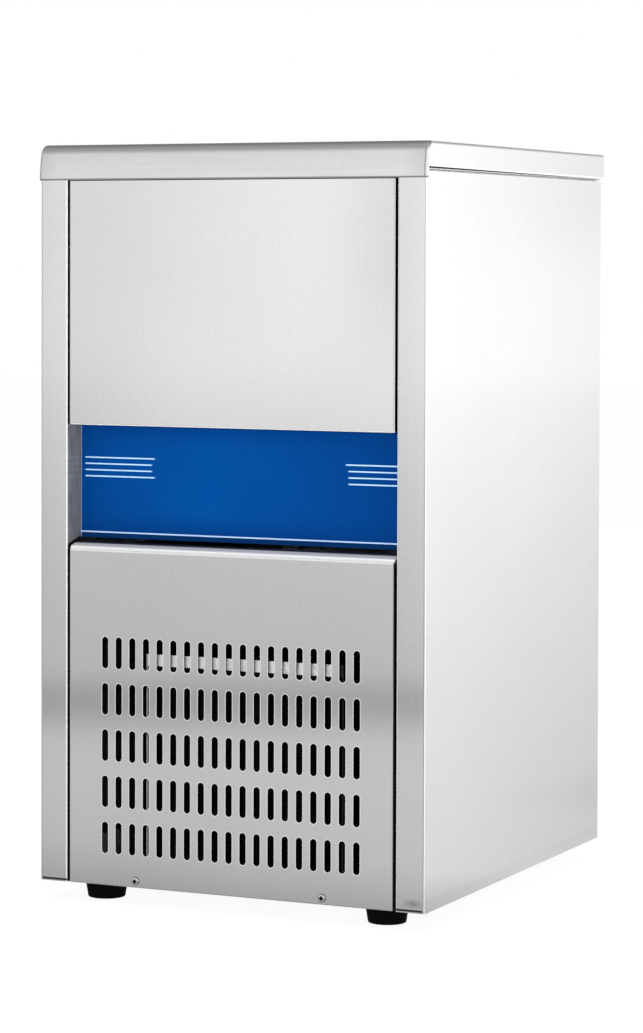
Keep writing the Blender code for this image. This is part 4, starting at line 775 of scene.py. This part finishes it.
def cross_screw(name, centre, node):
    """Pan-head screw with a cross recess, its head towards -Y at the given centre of its seat."""
    radius = SCREW_RADIUS
    profile = [(0.05 * radius, -1.7 * MM), (0.45 * radius, -1.62 * MM), (0.75 * radius, -1.38 * MM),
               (0.93 * radius, -0.95 * MM), (radius, -0.45 * MM), (radius, -0.05 * MM),
               (0.5 * radius, 0.0), (0.5 * radius, 5.0 * MM)]
    screw = turned(name, profile, centre, "Y", 40)
    face = centre[1] - 1.7 * MM
    for wide, tall in ((0.56, 1.25), (1.25, 0.56)):
        reach = Vector((wide * radius / 2, MM, tall * radius / 2))
        middle = Vector((centre[0], face, centre[2]))
        cutter = block("recess_cutter", middle - reach, middle + reach)
        edit(cutter, "vertices", lambda v: v.co.y > face)
        bpy.ops.transform.resize(value=(0.72, 1.0, 0.72), center_override=middle)
        leave_edit()
        carve(screw, cutter)
    soften(screw, 0.0, 32.0)
    stands_for(screw, node, shaded_screw(name + "_finish", centre))


def shaded_screw(name, centre):
    """Bright screw finish with painted shade in the cross recess and a painted shadow round the rim, about
    the given centre.
    """
    finish = Finish(name, (0.62, 0.62, 0.62), 0.2, 1.0)
    x = finish.along("X") - centre[0]
    z = finish.along("Z") - centre[2]
    away = (x * x + z * z).root()
    # Painted shade in the recess, and painted shadow round the rim of the head.
    recess_shade = (finish.along("Y").ramp(centre[1] - 1.45 * MM, centre[1] - 1.3 * MM)
            * away.ramp(2.6 * MM, 2.3 * MM))
    rim = away.ramp(3.1 * MM, 3.7 * MM)
    metal = finish.blend(finish.noise(900.0), (0.5, 0.5, 0.5), (0.8, 0.8, 0.8))
    metal = finish.blend(rim * 0.7, metal, (0.08, 0.08, 0.08))
    finish.feed("Base Color", finish.blend(recess_shade, metal, (0.01, 0.01, 0.01)))
    finish.feed("Roughness", 0.16 + finish.noise(700.0) * 0.1)
    return finish


def tapered_foot(node):
    """Rubber foot on its stud: a drum that widens upwards, with a rounded tread and upper rim."""
    low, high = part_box(node)
    centre = ((low.x + high.x) / 2, (low.y + high.y) / 2, 0.0)
    profile = [(16.3, 0.0), (16.9, 0.15), (17.3, 0.55), (17.5, 1.1), (18.6, 8.0), (19.9, 15.6), (20.0, 16.1),
               (19.8, 16.5), (19.2, 16.7), (4.0, 16.7), (4.0, 26.0)]
    foot = turned(node + "_moulding", [(r * MM, h * MM) for r, h in profile], centre, "Z", 72)
    soften(foot, 0.0, 40.0)
    stands_for(foot, node)


grille_panel()
for hand in ("left", "right"):
    screw_low, screw_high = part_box("grille_screw_" + hand)
    seat = ((screw_low.x + screw_high.x) / 2, GRILLE_LOW.y - 0.1 * MM, (screw_low.z + screw_high.z) / 2)
    cross_screw("grille_cross_screw_" + hand, seat, "grille_screw_" + hand)
    refined("side_panel_" + hand, 0.15 * MM, 50.0, side_sheet)
    for row in ("front", "rear"):
        tapered_foot("foot_" + row + "_" + hand)
rolled_cover()
refined("door_skin", 0.15 * MM, 50.0, door_sheet)
refined("front_fascia", 0.2 * MM, 35.0)
for node in ("base_tray", "rear_panel", "partition_plate"):
    refined(node, 0.1 * MM, 40.0)
refined("fan_shroud", 0.1 * MM, 40.0, shroud_sheet())
refined("cover_insulation", 0.0, 40.0, cover_foam())
for node in ("power_inlet", "power_switch_body", "power_switch_rocker", "door_liner", "bin_liner",
             "water_sump"):
    refined(node, 0.25 * MM, 35.0)

# Every frame node that still shows itself wears the finish of its slot.
for name, node in nodes.items():
    node.data.materials.clear()
    node.data.materials.append(finish_of_slot[slot_of_node[name]].material)


# Studio: pale floor and white surround, which metal mirrors as a softly graded room.
def far(metres):
    """Place of a number or wire of metres on a scale from 0 close by to 1 far away, half way at 1.5 m."""
    return metres / (metres + 1.5)


def pale_floor():
    """White floor with a faint shadow; in mirrors it is graded, with the darker end of its table."""
    finish = Finish("pale_floor", (0.93, 0.93, 0.93), 0.9)
    x = finish.along("X")
    y = finish.along("Y")
    ahead = (FRONT - y).sum("MAXIMUM", FRONT - y, 0.0)
    turned_ahead = ahead - (x + 0.82) * 0.42 * ahead.ramp(0.3, 1.0) * ahead.ramp(2.8, 1.8)
    before = finish.node("ValToRGB", {"stops": [(far(metres), light) for metres, light in (
        (0.0, 0.45), (0.15, 0.62), (0.3, 0.75), (0.5, 0.79), (0.86, 0.81), (0.96, 0.76), (1.06, 0.58),
        (1.16, 0.49), (1.3, 0.44), (1.37, 0.40), (1.42, 0.46), (1.49, 0.70), (1.58, 0.78), (1.9, 0.74),
        (2.4, 0.76), (3.3, 0.79), (4.5, 0.84), (6.4, 0.90), (9.7, 0.98), (16.0, 1.04))]},
        {0: far(turned_ahead)})
    lateral = (x + ahead * 0.5) / (0.36 + ahead * 0.13)
    before = before * (0.92 + lateral.ramp(-1.0, 1.0) * 0.16)
    flank = (x - SIDE) / (ahead + 0.05)
    before = before * (1.0 - 0.62 * flank.bump(0.05, 0.22) * ahead.ramp(0.1, 0.4))
    aside = x.sum("MAXIMUM", x, 0.0)
    beside = 0.88 + 0.70 * far(aside) - 0.13 * y.ramp(0.42, 0.62) * x.ramp(0.42, 0.28)
    mirrored = before + (x + y).ramp(-0.1, 0.35) * (beside - before)
    seen = finish.ray("Camera")
    reflected = finish.ray("Glossy", "Transmission")
    light = finish.node("Emission", inputs={"Color": (0.93, 0.93, 0.93, 1.0),
                                            "Strength": seen * 1.15 + reflected * mirrored * 1.075})
    mixed = finish.node("MixShader", inputs={
        0: seen * 0.86 + reflected, 1: Wire(finish, finish.shader.outputs[0]), 2: light})
    finish.tree.links.new(mixed.socket, finish.tree.nodes["Material Output"].inputs["Surface"])
    return finish


def surround():
    """White to the camera; in mirrors brighter to the right, and darker overhead and behind."""
    world = bpy.data.worlds.new("studio")
    bpy.context.scene.world = world
    world.use_nodes = True
    graph = Graph(world.node_tree, "Generated")
    x, y, z = [graph.along(letter) for letter in "XYZ"]
    horizon = 0.95 + 0.55 * x.ramp(-0.64, 0.03)
    dim = 1.0 - (0.62 * x.bump(0.05, 0.22) + 0.75 * x.bump(-0.88, 0.16)) * y.ramp(-0.1, -0.4)
    overhead = 1.0 - 0.52 * z.ramp(0.2, 0.8)
    behind = 1.0 - 0.55 * y.ramp(-0.1, 0.55) * z.ramp(0.12, 0.4)
    seen = graph.ray("Camera")
    reflected = graph.ray("Glossy", "Transmission")
    background = world.node_tree.nodes["Background"]
    background.inputs["Color"].default_value = (1.0, 1.0, 1.0, 1.0)
    horizon = horizon * (1.0 - 0.11 * x.ramp(0.385, 0.345) * y.ramp(0.5, 0.8) * z.ramp(-0.005, 0.015))
    strength = seen + (1.0 - seen) * (AMBIENT + reflected * (horizon * dim * overhead * behind - AMBIENT))
    world.node_tree.links.new(strength.socket, background.inputs["Strength"])


def soft_box(name, place, size, share):
    """Square lamp turned to the machine; share is the part of full light that it gives there."""
    lamp = bpy.data.lights.new(name, "AREA")
    lamp.shape = "SQUARE"
    lamp.size = size
    away = Vector(place) - Vector((0.0, 0.0, LAMP_AIM))
    lamp.energy = share * pi * pi * away.length_squared
    holder = bpy.data.objects.new(name, lamp)
    holder.location = place
    holder.rotation_euler = away.to_track_quat("Z", "Y").to_euler()
    holder.visible_camera = False
    holder.visible_glossy = False
    bpy.context.scene.collection.objects.link(holder)


bpy.ops.object.select_all(action="DESELECT")
bpy.ops.mesh.primitive_plane_add(size=FLOOR_WIDTH, location=(0.0, 0.0, 0.0))
floor = bpy.context.object
floor.name = "floor"
floor.data.materials.append(pale_floor().material)
surround()
for name, place, size, share in (
        ("camera_box", (1.30, -3.05, 0.70), 0.15, 0.50), ("front_box", (-2.2, -3.0, 1.9), 2.4, 0.08),
        ("right_box", (3.6, 0.4, 1.6), 2.4, 0.18), ("top_box", (0.2, -0.5, 3.2), 2.4, 0.22),
        ("rear_box", (-1.4, 3.4, 1.7), 2.4, 0.25)):
    soft_box(name, place, size, share)

camera_data = bpy.data.cameras.new("camera")
camera_data.lens = CAMERA_LENS
camera_data.sensor_width = CAMERA_SENSOR
camera_data.shift_y = CAMERA_SHIFT
camera = bpy.data.objects.new("camera", camera_data)
camera.matrix_world = (Matrix.Translation(CAMERA_PLACE) @ Matrix.Rotation(radians(CAMERA_YAW), 4, "Z")
                       @ Matrix.Rotation(radians(90.0 - CAMERA_PITCH), 4, "X")
                       @ Matrix.Rotation(radians(CAMERA_ROLL), 4, "Z"))
bpy.context.scene.collection.objects.link(camera)
bpy.context.scene.camera = camera
bpy.context.scene.view_settings.view_transform = "Standard"
